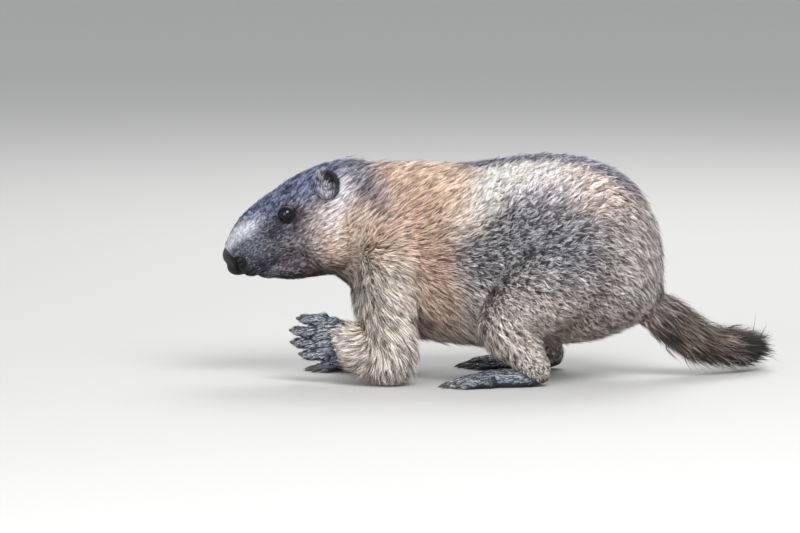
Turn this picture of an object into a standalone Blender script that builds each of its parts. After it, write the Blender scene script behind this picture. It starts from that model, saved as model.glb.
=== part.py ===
"""An alpine marmot at life size, crouched low with its left forepaw raised to grip.

Metres, +Z up. The nose points towards -X and the left side faces -Y. The shape is laid out
from the nose tip at x = 0 with the floor at z = 0, and at the end everything is moved so that
the origin lies on the floor under the middle of the animal. Every size reaches the hair tips.
"""

import math

import bmesh
import bpy
import numpy as np
from mathutils import Matrix, Vector
from mathutils.bvhtree import BVHTree

# Driving dimensions
BODY_LENGTH = 0.366
BACK_HEIGHT = 0.185
BODY_WIDTH = 0.156
HEAD_PITCH = math.radians(37)
GAP = 0.0003

# The head's own frame: along runs from between the ears to the nose, rise is up from that line
EARS_MIDDLE = Vector((0.085, 0, 0.159))
ALONG = Vector((-math.cos(HEAD_PITCH), 0, -math.sin(HEAD_PITCH)))
RISE = Vector((-math.sin(HEAD_PITCH), 0, math.cos(HEAD_PITCH)))
SIDE = Vector((0, 1, 0))
UP = Vector((0, 0, 1))
HEAD_BACK = Vector((0.0985, 0, 0.165))
HEAD_BACK_WAY = Vector((1, 0, -0.22)).normalized()
NECK_CUT = 0.138

# Places on the head: along, to the side and up
EYE_PLACE = (0.0385, 0.060, 0.0015)
EYE_RADIUS = 0.0070
EYE_DEPTH = 0.0046
EAR_PLACE = (-0.002, 0.0335, 0.0035)
NOSE_PLACE = (0.0996, 0.0, 0.0)
NOSE_SIZE = (0.0058, 0.0082, 0.0068)
NOSE_SIDES = 12

# Joints of the limbs. The left side is at -Y, and its forepaw is in the air.
SHOULDER = Vector((0.130, -0.044, 0.108))
ELBOW = Vector((0.141, -0.062, 0.0175))
WRIST = Vector((0.100, -0.046, 0.037))
RIGHT_ELBOW = Vector((0.150, 0.060, 0.048))
RIGHT_WRIST = Vector((0.117, 0.053, 0.019))
HIP = Vector((0.284, -0.038, 0.100))
KNEE = Vector((0.232, -0.069, 0.051))
HEEL = Vector((0.256, -0.067, 0.014))
RIGHT_HIND_SHIFT = 0.014
ANKLE_CUT = 0.025

# The tail's middle line from the rump to the tip: x, y, z and the radius of its core
TAIL_PATH = (
    (0.334, 0.000, 0.070, 0.0150),
    (0.364, 0.006, 0.048, 0.0135),
    (0.392, 0.018, 0.029, 0.0125),
    (0.418, 0.036, 0.022, 0.0115),
    (0.438, 0.058, 0.019, 0.0095),
)

# The locks of the coat
RUFF_SPACING = 0.0205
FRINGE_SPACING = 0.0215
LOCK_LENGTH = 0.033
LOCK_WIDTH = 0.0135
LOCK_THICK = 0.0032
LOCK_STAND = 0.0040
LOCK_SINK = 0.0045
LOCK_CLEAR = 0.0008
LOCK_ROOM = 0.0135
LOCK_TURN = math.radians(9)
LOWEST_HAIR = 0.0040
COAT_SEED = 6
COAT_TRIES = 6000
TAIL_RINGS = 6
TAIL_LOCKS_ROUND = 5
TAIL_FIRST_RING = 0.10
TAIL_LAST_RING = 0.84
TAIL_LOCK_LENGTH = 0.044
TAIL_LOCK_WIDTH = 0.0165
TAIL_LOCK_STAND = (0.0045, 0.0085)

TAIL_START = Vector((0.349, 0.003, 0.059))
TAIL_WAY = Vector((0.80, 0.15, -0.60)).normalized()


def clear_scene():
    for thing in list(bpy.data.objects):
        bpy.data.objects.remove(thing)


def in_head(along, side, rise):
    """The point at these distances along the head, to its right (+Y) and up from its line."""
    return EARS_MIDDLE + ALONG * along + SIDE * side + RISE * rise


def mirrored(point):
    return Vector((point[0], -point[1], point[2]))


def catmull(rows, steps):
    """Rows of numbers on a smooth line through the given rows, with steps rows to each span."""
    rows = np.array(rows, float)
    padded = np.vstack([2 * rows[0] - rows[1], rows, 2 * rows[-1] - rows[-2]])
    made = []
    for i in range(len(rows) - 1):
        before, start, end, after = padded[i : i + 4]
        for t in np.linspace(0, 1, steps, endpoint=False):
            bend = 2 * before - 5 * start + 4 * end - after
            twist = 3 * start - before - 3 * end + after
            made.append(start + 0.5 * ((end - before) * t + bend * t**2 + twist * t**3))
    made.append(rows[-1])
    return np.array(made)


def mesh_object(name, build):
    """A linked object whose mesh is what build adds to a bmesh, with its normals facing out."""
    made = bmesh.new()
    build(made)
    bmesh.ops.recalc_face_normals(made, faces=made.faces)
    data = bpy.data.meshes.new(name)
    made.to_mesh(data)
    made.free()
    thing = bpy.data.objects.new(name, data)
    bpy.context.scene.collection.objects.link(thing)
    return thing


def loft(name, rings):
    """A closed shape over rings of points, with a flat end at each side."""

    def build(made):
        loops = [[made.verts.new(point) for point in ring] for ring in rings]
        count = len(loops[0])
        for near, far in zip(loops, loops[1:]):
            for i in range(count):
                j = (i + 1) % count
                made.faces.new((near[i], near[j], far[j], far[i]))
        made.faces.new(loops[0])
        made.faces.new(loops[-1])

    return mesh_object(name, build)


def oval(centre, across, up, half_width, above, below, squareness=2.0, sides=28):
    """A ring of points: an oval with its own height above and below the centre."""
    power = 2.0 / squareness
    ring = []
    for i in range(sides):
        turn = 2 * math.pi * i / sides
        c, s = math.cos(turn), math.sin(turn)
        wide = half_width * math.copysign(abs(c) ** power, c)
        high = (above if s > 0 else below) * math.copysign(abs(s) ** power, s)
        ring.append(centre + across * wide + up * high)
    return ring


def tube(name, rows, sides=14, steps=4, grow=0.0):
    """A round limb through rows of x, y, z and radius, rounded off at both ends."""
    rows = catmull(rows, steps)
    rows[:, 3] += grow
    points = [Vector(row[:3]) for row in rows]
    radii = [row[3] for row in rows]
    across = None
    rings = []
    last = len(points) - 1
    for i, (point, radius) in enumerate(zip(points, radii)):
        heading = (points[min(i + 1, last)] - points[max(i - 1, 0)]).normalized()
        if across is None:
            across = heading.orthogonal().normalized()
        across = (across - heading * across.dot(heading)).normalized()
        up = heading.cross(across)
        if i in (0, last):
            way = -1 if i == 0 else 1
            turns = (75, 50, 25) if i == 0 else (25, 50, 75)
            cap = [
                oval(
                    point + heading * way * radius * math.sin(math.radians(turn)),
                    across,
                    up,
                    *[radius * math.cos(math.radians(turn))] * 3,
                    sides=sides,
                )
                for turn in turns
            ]
            body = oval(point, across, up, radius, radius, radius, sides=sides)
            rings += cap + [body] if i == 0 else [body] + cap
        else:
            rings.append(oval(point, across, up, radius, radius, radius, sides=sides))
    return loft(name, rings)


def ball(name, centre, radii, turn=None, segments=20, rings=12):
    """An ellipsoid, with turn as the rotation of its axes."""
    matrix = Matrix.Translation(centre) @ (turn or Matrix.Identity(3)).to_4x4()
    matrix = matrix @ Matrix.Diagonal((*radii, 1))

    def build(made):
        bmesh.ops.create_uvsphere(
            made, u_segments=segments, v_segments=rings, radius=1, matrix=matrix
        )

    return mesh_object(name, build)


def axes(x_axis, y_axis, z_axis):
    return Matrix((x_axis, y_axis, z_axis)).transposed()


def head_ball(name, place, radii, sides=20):
    return ball(name, in_head(*place), radii, axes(ALONG, SIDE, RISE), sides, sides * 2 // 3)


def block(point, normal, length, width):
    """A box that stands on the plane through point and reaches length along normal."""
    heading = Vector(normal).normalized()
    across = heading.orthogonal().normalized()
    up = heading.cross(across)
    centre = Vector(point) + heading * length / 2
    matrix = Matrix.Translation(centre) @ axes(heading, across, up).to_4x4()
    matrix = matrix @ Matrix.Diagonal((length, width, width, 1))
    return mesh_object("block", lambda made: bmesh.ops.create_cube(made, size=1, matrix=matrix))


def settle(thing):
    """The object's modifiers applied to its mesh."""
    graph = bpy.context.evaluated_depsgraph_get()
    made = bpy.data.meshes.new_from_object(thing.evaluated_get(graph))
    thing.modifiers.clear()
    old = thing.data
    thing.data = made
    bpy.data.meshes.remove(old)


def joined(name, things):
    """All the meshes as one object, each still a body of its own."""
    made = bmesh.new()
    for thing in things:
        made.from_mesh(thing.data)
        bpy.data.objects.remove(thing)
    data = bpy.data.meshes.new(name)
    made.to_mesh(data)
    made.free()
    whole = bpy.data.objects.new(name, data)
    bpy.context.scene.collection.objects.link(whole)
    return whole


def copied(thing, name):
    twin = bpy.data.objects.new(name, thing.data.copy())
    bpy.context.scene.collection.objects.link(twin)
    return twin


def cast(name, things, voxel, rounds, triangles):
    """The shapes melted into one smooth skin of about that many triangles."""
    whole = joined(name, things)
    melt = whole.modifiers.new("melt", "REMESH")
    melt.mode = "VOXEL"
    melt.voxel_size = voxel
    ease = whole.modifiers.new("ease", "SMOOTH")
    ease.factor = 0.5
    ease.iterations = rounds
    settle(whole)
    thin = whole.modifiers.new("thin", "DECIMATE")
    thin.ratio = triangles / (2 * len(whole.data.polygons))
    settle(whole)
    keep_largest(whole)
    return whole


def keep_largest(thing):
    """Only the closed surface of the largest volume stays."""
    made = bmesh.new()
    made.from_mesh(thing.data)
    bmesh.ops.triangulate(made, faces=made.faces)
    left = set(made.faces)
    shells = []
    while left:
        shell = {left.pop()}
        front = list(shell)
        while front:
            face = front.pop()
            for edge in face.edges:
                if len(edge.link_faces) > 2:
                    continue
                for other in edge.link_faces:
                    if other in left:
                        left.discard(other)
                        shell.add(other)
                        front.append(other)
        volume = sum(
            f.verts[0].co.dot(f.verts[1].co.cross(f.verts[2].co)) for f in shell
        )
        shells.append((volume, shell))
    shells.sort(key=lambda pair: pair[0], reverse=True)
    extra = [face for _, shell in shells[1:] for face in shell]
    bmesh.ops.delete(made, geom=extra, context="FACES")
    loose = [vert for vert in made.verts if not vert.link_faces]
    bmesh.ops.delete(made, geom=loose, context="VERTS")
    made.to_mesh(thing.data)
    made.free()


def combine(thing, other, operation, solver="EXACT", keep=False):
    """A Boolean with one other object, which is then removed."""
    step = thing.modifiers.new("step", "BOOLEAN")
    step.operation = operation
    step.solver = solver
    step.object = other
    settle(thing)
    if not keep:
        bpy.data.objects.remove(other)
    return thing


def grown(thing, by):
    """A copy whose surface is pushed out along its normals."""
    twin = copied(thing, thing.name + "_grown")
    made = bmesh.new()
    made.from_mesh(twin.data)
    made.normal_update()
    moves = [vert.normal * by for vert in made.verts]
    for vert, move in zip(made.verts, moves):
        vert.co += move
    made.to_mesh(twin.data)
    made.free()
    return twin


def trunk_shape():
    """The barrel of chest, belly and rump. Rows are shares: along the body from the nose, top
    and bottom of the back height, and half the width of the body width."""
    rows = (
        (0.300, 0.900, 0.340, 0.290),
        (0.335, 0.945, 0.255, 0.340),
        (0.400, 0.962, 0.185, 0.390),
        (0.490, 0.960, 0.150, 0.440),
        (0.555, 0.962, 0.138, 0.472),
        (0.623, 0.980, 0.130, 0.494),
        (0.713, 1.000, 0.130, 0.506),
        (0.779, 0.993, 0.140, 0.500),
        (0.847, 0.965, 0.160, 0.465),
        (0.902, 0.915, 0.193, 0.404),
        (0.948, 0.830, 0.235, 0.322),
        (0.980, 0.715, 0.300, 0.215),
        (0.997, 0.570, 0.420, 0.090),
    )
    rings = []
    for share, top, bottom, half in catmull(rows, 3):
        middle = BACK_HEIGHT * (top + bottom) / 2
        tall = BACK_HEIGHT * (top - bottom) / 2
        centre = Vector((share * BODY_LENGTH, 0, middle))
        rings.append(oval(centre, SIDE, UP, half * BODY_WIDTH, tall, tall, 2.15))
    return loft("trunk", rings)


def neck_shape():
    """The thick neck. Rows are x, the middle's height, half the depth and half the width."""
    rows = (
        (0.072, 0.122, 0.040, 0.038),
        (0.097, 0.127, 0.051, 0.046),
        (0.122, 0.119, 0.061, 0.053),
        (0.150, 0.109, 0.070, 0.060),
    )
    rings = []
    for x, height, deep, half in catmull(rows, 3):
        centre = Vector((x, 0, height))
        rings.append(oval(centre, SIDE, UP, half, deep, deep, 2.1))
    return loft("neck", rings)


def skull_shape():
    """The head's mass with the upper muzzle. Rows are in the head's frame: along, the middle's
    rise, half the width, and the reach above and below the middle."""
    rows = (
        (-0.030, -0.028, 0.034, 0.036, 0.034),
        (-0.012, -0.022, 0.0385, 0.041, 0.038),
        (0.012, -0.019, 0.0385, 0.0425, 0.036),
        (0.034, -0.016, 0.0350, 0.0400, 0.033),
        (0.052, -0.012, 0.0295, 0.0355, 0.026),
        (0.068, -0.008, 0.0245, 0.0300, 0.021),
        (0.082, -0.005, 0.0215, 0.0225, 0.018),
        (0.094, -0.004, 0.0185, 0.0170, 0.0155),
        (0.100, -0.0045, 0.0140, 0.0115, 0.0120),
        (0.1035, -0.0050, 0.0075, 0.0055, 0.0065),
    )
    rings = []
    for along, rise, half, above, below in catmull(rows, 3):
        centre = in_head(along, 0, rise)
        rings.append(oval(centre, SIDE, RISE, half, above, below, 2.25))
    return loft("skull", rings)


def jaw_shape():
    """The lower jaw, narrower than the muzzle, so that the upper lip overhangs it."""
    rows = (
        (-0.010, -0.056, 0.032, 0.018),
        (0.020, -0.055, 0.028, 0.017),
        (0.045, -0.046, 0.0215, 0.0135),
        (0.068, -0.0375, 0.0155, 0.0105),
        (0.084, -0.0300, 0.0120, 0.0080),
        (0.094, -0.0260, 0.0080, 0.0055),
    )
    rings = []
    for along, rise, half, deep in catmull(rows, 3):
        rings.append(oval(in_head(along, 0, rise), SIDE, RISE, half, deep, deep))
    return loft("jaw", rings)


def head_details():
    """Cheeks, whisker pads and brows, in pairs."""
    made = []
    for way in (-1, 1):
        made.append(head_ball("cheek", (0.020, way * 0.026, -0.036), (0.030, 0.017, 0.026)))
        made.append(head_ball("whisker_pad", (0.086, way * 0.0105, -0.013), (0.017, 0.011, 0.0115)))
        made.append(head_ball("brow", (0.038, way * 0.0215, 0.0075), (0.015, 0.008, 0.0065)))
    return made


def foreleg_rows(right):
    """Rows of the arm from the shoulder to just past the wrist."""
    if right:
        shoulder, elbow, wrist = mirrored(SHOULDER), RIGHT_ELBOW, RIGHT_WRIST
    else:
        shoulder, elbow, wrist = SHOULDER, ELBOW, WRIST
    past = wrist + (wrist - elbow) * 0.2
    upper = shoulder.lerp(elbow, 0.5)
    fore = elbow.lerp(wrist, 0.5)
    return (
        (*shoulder, 0.034),
        (*upper, 0.027),
        (*elbow, 0.021),
        (*fore, 0.0175),
        (*wrist, 0.0145),
        (*past, 0.0135),
    )


def hindleg_rows(right):
    """Rows of the leg from the hip through the knee to the heel."""
    rows = []
    middle = HIP.lerp(KNEE, 0.5) + Vector((0, -0.004, 0.004))
    shank = KNEE.lerp(HEEL, 0.55)
    for point, radius in (
        (HIP, 0.050),
        (middle, 0.043),
        (KNEE, 0.026),
        (shank, 0.0185),
        (HEEL, 0.0135),
    ):
        if right:
            point = mirrored(point) + Vector((RIGHT_HIND_SHIFT, 0, 0))
        rows.append((*point, radius))
    return rows


def body_cast():
    """The whole animal without the detail of head, paws and tail."""
    things = [trunk_shape(), neck_shape(), skull_shape(), jaw_shape()]
    things += head_details()
    for right in (False, True):
        things.append(tube("arm", foreleg_rows(right)))
        things.append(tube("leg", hindleg_rows(right)))
    things.append(tube("tail_root", TAIL_PATH[:3]))
    return cast("body", things, voxel=0.004, rounds=10, triangles=2700)


def sleeve(rows, grow=0.0065):
    """The room round a limb: what of the body lies in it belongs to the limb."""
    return cast("sleeve", [tube("limb", rows, grow=grow)], voxel=0.005, rounds=4, triangles=320)


def head_solid():
    """The head in front of the neck, still without its openings."""
    things = [neck_shape(), skull_shape(), jaw_shape()] + head_details()
    head = cast("head", things, voxel=0.002, rounds=8, triangles=1500)
    combine(head, block(HEAD_BACK, HEAD_BACK_WAY, 0.2, 0.4), "DIFFERENCE")
    keep_largest(head)
    return head


def tree_of(thing):
    made = bmesh.new()
    made.from_mesh(thing.data)
    tree = BVHTree.FromBMesh(made)
    made.free()
    return tree


def eye_middle(tree, way):
    """The eyeball's centre, set in from where a line from the side meets the head."""
    along, side, rise = EYE_PLACE
    outside = in_head(along, way * side, rise)
    hit, normal, _, _ = tree.ray_cast(outside, SIDE * -way)
    return hit - SIDE * way * EYE_DEPTH, normal


def lid(name, centre, outward, tilt):
    """The rim of an almond-shaped eye, lying on the eyeball."""
    across = (ALONG - outward * ALONG.dot(outward)).normalized()
    up = outward.cross(across).normalized()
    if up.dot(RISE) < 0:
        up = -up
    reach = EYE_RADIUS + 0.0004
    rings = []
    sides, turns = 5, 16
    for i in range(turns):
        turn = 2 * math.pi * i / turns
        x = 0.0066 * math.cos(turn)
        y = 0.0057 * math.sin(turn) + tilt * x
        out = math.sqrt(max(reach**2 - x**2 - y**2, 0))
        middle = centre + across * x + up * y + outward * out
        radial = (across * x + up * y).normalized()
        thick = 0.0013 + 0.0006 * max(math.sin(turn), 0)
        rings.append(oval(middle, radial, outward, thick, thick, thick, sides=sides))

    def build(made):
        loops = [[made.verts.new(point) for point in ring] for ring in rings]
        for i in range(turns):
            near, far = loops[i], loops[(i + 1) % turns]
            for j in range(sides):
                k = (j + 1) % sides
                made.faces.new((near[j], near[k], far[k], far[j]))

    return mesh_object(name, build)


def mouth_groove(tree):
    """A thin tube that follows the line between the lips from corner to corner."""
    sides = ((0.058, 0.040, -0.0405), (0.068, 0.035, -0.0345), (0.079, 0.028, -0.0275))
    sides += ((0.090, 0.020, -0.0225), (0.099, 0.012, -0.0195))
    line = [(a, -s, h) for a, s, h in sides] + [(0.112, 0.0, -0.0190)]
    line += list(reversed(sides))
    rows = []
    for place in line:
        hit, normal, _, _ = tree.find_nearest(in_head(*place))
        rows.append((*(hit - normal * 0.0004), 0.0012))
    return tube("groove", rows, sides=8, steps=2)


def nose_pad():
    """The bare pad at the tip of the muzzle with its two nostrils and the groove between."""
    pad = head_ball("nose", NOSE_PLACE, NOSE_SIZE, NOSE_SIDES)
    along, _, rise = NOSE_PLACE
    for way in (-1, 1):
        place = in_head(along + 0.0028, way * 0.0056, rise - 0.0012)
        turn = axes(ALONG, SIDE, RISE) @ Matrix.Rotation(way * math.radians(35), 3, "Z")
        hole = ball("nostril", place, (0.0042, 0.0016, 0.0024), turn, segments=8, rings=6)
        combine(pad, hole, "DIFFERENCE", "MANIFOLD")
    start = in_head(along + 0.0064, 0, rise + 0.001)
    stop = in_head(along + 0.0036, 0, rise - 0.0085)
    crease = tube("crease", ((*start, 0.0007), (*stop, 0.0007)), sides=6, steps=2)
    combine(pad, crease, "DIFFERENCE", "MANIFOLD")
    keep_largest(pad)
    return pad


def ear(way, head):
    """A low, round ear with its cup facing out and a little forwards."""
    outward = (SIDE * way * 0.86 + ALONG * 0.36 + RISE * 0.30).normalized()
    tall = (RISE - ALONG * 0.25 - outward * (RISE - ALONG * 0.25).dot(outward)).normalized()
    across = tall.cross(outward)
    turn = axes(across, outward, tall)
    middle = in_head(EAR_PLACE[0], way * EAR_PLACE[1], EAR_PLACE[2])
    shell = ball("ear", middle, (0.0100, 0.0058, 0.0122), turn, segments=12, rings=7)
    cup_middle = middle + outward * 0.0050 + tall * 0.0006
    cup = ball("cup", cup_middle, (0.0076, 0.0056, 0.0096), turn, segments=10, rings=6)
    combine(shell, cup, "DIFFERENCE")
    combine(shell, grown(head, GAP), "DIFFERENCE")
    keep_largest(shell)
    return shell


def toe_rows(start, forward, back, lengths, bends, radii):
    """Rows of a toe or claw that starts along forward and bends away from back."""
    rows = [(*start, radii[0])]
    point = Vector(start)
    for length, bend, radius in zip(lengths, bends, radii[1:]):
        turn = math.radians(bend)
        point = point + (forward * math.cos(turn) - back * math.sin(turn)) * length
        rows.append((*point, radius))
    return rows


def spike(name, rows, sides=6):
    """A claw: a tapered tube that ends in a point."""
    points = [Vector(row[:3]) for row in rows]

    def build(made):
        across = (points[1] - points[0]).normalized().orthogonal().normalized()
        loops = []
        for i in range(len(points) - 1):
            heading = (points[i + 1] - points[i]).normalized()
            level = (across - heading * across.dot(heading)).normalized()
            radius = rows[i][3]
            ring = oval(points[i], level, heading.cross(level), *[radius] * 3, sides=sides)
            loops.append([made.verts.new(point) for point in ring])
        tip = made.verts.new(points[-1])
        for near, far in zip(loops, loops[1:]):
            for i in range(sides):
                j = (i + 1) % sides
                made.faces.new((near[i], near[j], far[j], far[i]))
        for i in range(sides):
            made.faces.new((loops[-1][i], loops[-1][(i + 1) % sides], tip))
        made.faces.new(loops[0])

    return mesh_object(name, build)


def foot(name, stub, forward, across, back, plan):
    """A foot: palm, toes and claws. forward is where the toes point, across is the way that
    they are set side by side, and back is the side that carries the fur."""
    forward, across, back = (Vector(way).normalized() for way in (forward, across, back))
    end = Vector(stub[-1][:3])
    palm = end + forward * plan["palm_reach"] + back * plan["palm_lift"]
    turn = axes(forward, across, back)
    things = [ball("palm", palm, plan["palm"], turn), tube("stub", stub, sides=12)]
    claws = []
    count = plan["toes"]
    for i in range(count):
        share = 2 * i / (count - 1) - 1
        splay = math.radians(plan["splay"]) * share
        heading = (forward * math.cos(splay) + across * math.sin(splay)).normalized()
        arch = 1 - plan["arch"] * share**2
        start = palm + across * plan["spread"] * share + back * plan["toe_lift"]
        start = start + forward * plan["palm"][0] * plan["toe_start"] * arch
        lengths = [length * arch for length in plan["lengths"]]
        rows = toe_rows(start, heading, back, lengths, plan["bends"], plan["toe_radii"])
        things.append(tube("toe", rows, sides=10, steps=3))
        before, tip = Vector(rows[-2][:3]), Vector(rows[-1][:3])
        way = (tip - before).normalized()
        outer = (back - way * back.dot(way)).normalized()
        if plan["bends"][-1] > 80:
            outer = heading
        inner = tip - way * 0.001 + outer * plan["claw_lift"]
        rows = toe_rows(inner, heading, back, plan["claw"], plan["claw_bends"], plan["claw_radii"])
        claws.append(spike("claw", rows))
    made = cast(name, things, voxel=0.0014, rounds=3, triangles=plan["triangles"])
    return combine(made, joined("claws", claws), "UNION")


FORE_FOOT = {
    "toes": 4,
    "palm": (0.0165, 0.0150, 0.0095),
    "palm_reach": 0.010,
    "palm_lift": -0.0105,
    "toe_start": 0.45,
    "spread": 0.0125,
    "splay": 14,
    "arch": 0.25,
    "toe_lift": -0.0015,
    "lengths": (0.007, 0.008, 0.007),
    "bends": (-6, 18, 26),
    "toe_radii": (0.0050, 0.0047, 0.0044, 0.0038),
    "claw": (0.006, 0.005, 0.004),
    "claw_lift": 0.0010,
    "claw_bends": (6, 18, 30),
    "claw_radii": (0.0021, 0.0019, 0.0013, 0.0),
    "triangles": 290,
}
GRIP_FOOT = {
    **FORE_FOOT,
    "palm": (0.0160, 0.0165, 0.0090),
    "palm_reach": 0.013,
    "palm_lift": 0.0,
    "spread": 0.0140,
    "splay": 8,
    "toe_lift": 0.0015,
    "lengths": (0.009, 0.010, 0.009),
    "bends": (6, 46, 88),
    "claw_bends": (92, 108, 124),
}
HIND_FOOT = {
    **FORE_FOOT,
    "toes": 5,
    "palm": (0.0330, 0.0130, 0.0085),
    "palm_reach": 0.022,
    "palm_lift": -0.0075,
    "spread": 0.0120,
    "splay": 12,
    "toe_start": 0.60,
    "lengths": (0.010, 0.010, 0.008),
    "bends": (-4, 10, 18),
    "toe_radii": (0.0052, 0.0048, 0.0044, 0.0038),
    "claw": (0.005, 0.004, 0.003),
    "claw_bends": (4, 14, 26),
    "claw_radii": (0.0020, 0.0018, 0.0012, 0.0),
    "triangles": 320,
}


def forepaw(right):
    """The left paw hangs in the air with its palm turned in, the right one is planted."""
    if right:
        elbow, wrist = RIGHT_ELBOW, RIGHT_WRIST
        forward, across, back, plan = (-1, 0, 0), (0, -1, 0), UP, FORE_FOOT
    else:
        elbow, wrist = ELBOW, WRIST
        forward, across, back, plan = (-1, 0.06, 0.05), (0.06, 0, 1), (0, -1, 0), GRIP_FOOT
    way = (wrist - elbow).normalized()
    stub = (
        (*(wrist - way * 0.014), 0.0155),
        (*(wrist - way * 0.004), 0.0148),
        (*(wrist + way * 0.002), 0.0135),
    )
    made = foot("forepaw", stub, forward, across, back, plan)
    arm_side = block(wrist + way * GAP, -way, 0.08, 0.10)
    combine(made, arm_side, "DIFFERENCE")
    return made


def hindfoot(right):
    heel, knee = HEEL, KNEE
    rise = (knee - heel).normalized()
    stub = ((*(heel + rise * 0.026), 0.0170), (*(heel + rise * 0.014), 0.0155), (*heel, 0.0125))
    if right:
        shift = Vector((RIGHT_HIND_SHIFT, 0, 0))
        stub = [(*(mirrored(row[:3]) + shift), row[3]) for row in stub]
    way = 1 if right else -1
    forward = (-1, way * 0.10, 0)
    made = foot("hindfoot", stub, forward, (0, -way, 0), UP, HIND_FOOT)
    above = block((0.25, 0, ANKLE_CUT - GAP), UP, 0.1, 0.5)
    return combine(made, above, "DIFFERENCE")


def tail_core():
    """The tail without its long hair, which is set on it as locks."""
    core = cast("tail", [tube("core", TAIL_PATH, sides=12)], voxel=0.003, rounds=4, triangles=300)
    combine(core, block(TAIL_START + TAIL_WAY * GAP, -TAIL_WAY, 0.2, 0.3), "DIFFERENCE")
    return core


def lock(places, normals, width):
    """A flat, tapered lock of hair through the places, with its root sunk in the body."""
    shares = (0.80, 1.0, 0.72)

    def build(made):
        loops = []
        for i, share in enumerate(shares):
            heading = (places[i + 1] - places[i]).normalized()
            across = heading.cross(normals[i]).normalized()
            out = across.cross(heading).normalized()
            half, high = across * width * share / 2, out * LOCK_THICK * share / 2
            corners = (half, high, -half, -high)
            loops.append([made.verts.new(places[i] + corner) for corner in corners])
        tip = made.verts.new(places[-1])
        for near, far in zip(loops, loops[1:]):
            for i in range(4):
                j = (i + 1) % 4
                made.faces.new((near[i], near[j], far[j], far[i]))
        for i in range(4):
            made.faces.new((loops[-1][i], loops[-1][(i + 1) % 4], tip))
        made.faces.new(loops[0])

    return mesh_object("lock", build)


def combed(skin, root, lie, length):
    """The places and normals of a lock that leaves the skin at root and follows its lie."""
    place, normal, _, _ = skin.find_nearest(root)
    places, normals = [place - normal * LOCK_SINK], [normal]
    at = place
    for share, step in ((0.34, 0.34), (0.68, 0.34), (1.0, 0.32)):
        way = lie(at)
        way = (way - normal * way.dot(normal)).normalized()
        at, normal, _, _ = skin.find_nearest(at + way * length * step)
        raised = at + normal * (LOCK_CLEAR + LOCK_STAND * share**1.4)
        raised.z = max(raised.z, LOWEST_HAIR)
        places.append(raised)
        normals.append(normal)
    return places, normals


def coat_lie(point):
    """Hair lies back along the body, and runs down on the flanks, limbs and rump."""
    low = min(max((0.150 - point.z) / 0.110, 0), 1)
    rump = min(max((point.x - 0.30) / 0.06, 0), 1)
    arm = min(max((0.175 - point.x) / 0.05, 0), 1) * min(max((0.120 - point.z) / 0.06, 0), 1)
    down = 0.10 + 1.1 * low + 1.6 * rump + 0.8 * arm
    return Vector((1, 0, -down)).normalized()


def lock_spacing(node, point, normal):
    """How far apart locks grow at this point of a node, or None where the coat lies smooth.

    Long hair stands out as a ruff round the neck and as fringes along the lower flanks, behind
    the elbows, on the lower thighs and round the root of the tail."""
    if point.z < 0.030 or normal.z < -0.80:
        return None
    if node == "neck":
        return RUFF_SPACING if point.x > 0.097 else None
    if node == "torso":
        flank = point.z < 0.072 and point.x > NECK_CUT + 0.010
        rump = point.x > 0.325 and point.z < 0.115
        return FRINGE_SPACING if flank or rump else None
    inward = point.y * normal.y < -0.002 * abs(point.y)
    if inward or normal.x < 0.05:
        return None
    if node.startswith("foreleg"):
        return FRINGE_SPACING if 0.112 < point.x and point.z < 0.090 else None
    return FRINGE_SPACING if 0.045 < point.z < 0.095 else None


def grow_coat(skin_mesh, nodes, taken):
    """Locks spread over the body, each joined to the node that its root is in.

    They keep away from the places that locks of other nodes have taken."""
    draw = np.random.RandomState(COAT_SEED)
    skin = tree_of(skin_mesh)
    trees = {name: tree_of(thing) for name, thing in nodes.items()}
    corners = [[skin_mesh.data.vertices[i].co for i in f.vertices] for f in skin_mesh.data.polygons]
    areas = np.array([face.area for face in skin_mesh.data.polygons])
    picks = draw.choice(len(corners), size=COAT_TRIES, p=areas / areas.sum())
    roots, locks = [], {name: [] for name in nodes}
    for pick in picks:
        a, b = sorted(draw.uniform(size=2))
        size, turn = draw.uniform(-1, 1), draw.uniform(-1, 1)
        shares = (a, b - a, 1 - b)
        root = sum((corner * share for corner, share in zip(corners[pick], shares)), Vector())
        normal = skin_mesh.data.polygons[pick].normal
        node = min(trees, key=lambda name: trees[name].find_nearest(root)[3])
        if trees[node].find_nearest(root)[3] > 0.002:
            continue
        spacing = lock_spacing(node, root, normal)
        if spacing is None or any((root - other).length < spacing for other in roots):
            continue
        length = LOCK_LENGTH * (1 + 0.15 * size)
        bend = Matrix.Rotation(turn * LOCK_TURN, 3, normal)
        places, normals = combed(skin, root, lambda at: bend @ coat_lie(at), length)
        others = [at for name, at in taken if name != node]
        if any((at - other).length < LOCK_ROOM for at in places for other in others):
            continue
        roots.append(root)
        taken += [(node, at) for at in places]
        locks[node].append(lock(places, normals, LOCK_WIDTH * (1 + 0.12 * size)))
    return locks


def tail_spot(line, at):
    """The place, radius and heading at a distance along the tail, or past its tip."""
    lengths = [(Vector(b[:3]) - Vector(a[:3])).length for a, b in zip(line, line[1:])]
    i = 0
    while i < len(lengths) - 1 and at > lengths[i]:
        at -= lengths[i]
        i += 1
    share = at / lengths[i]
    near, far = Vector(line[i][:3]), Vector(line[i + 1][:3])
    radius = line[i][3] + (line[i + 1][3] - line[i][3]) * min(share, 1)
    return near + (far - near) * share, radius, (far - near).normalized()


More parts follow.
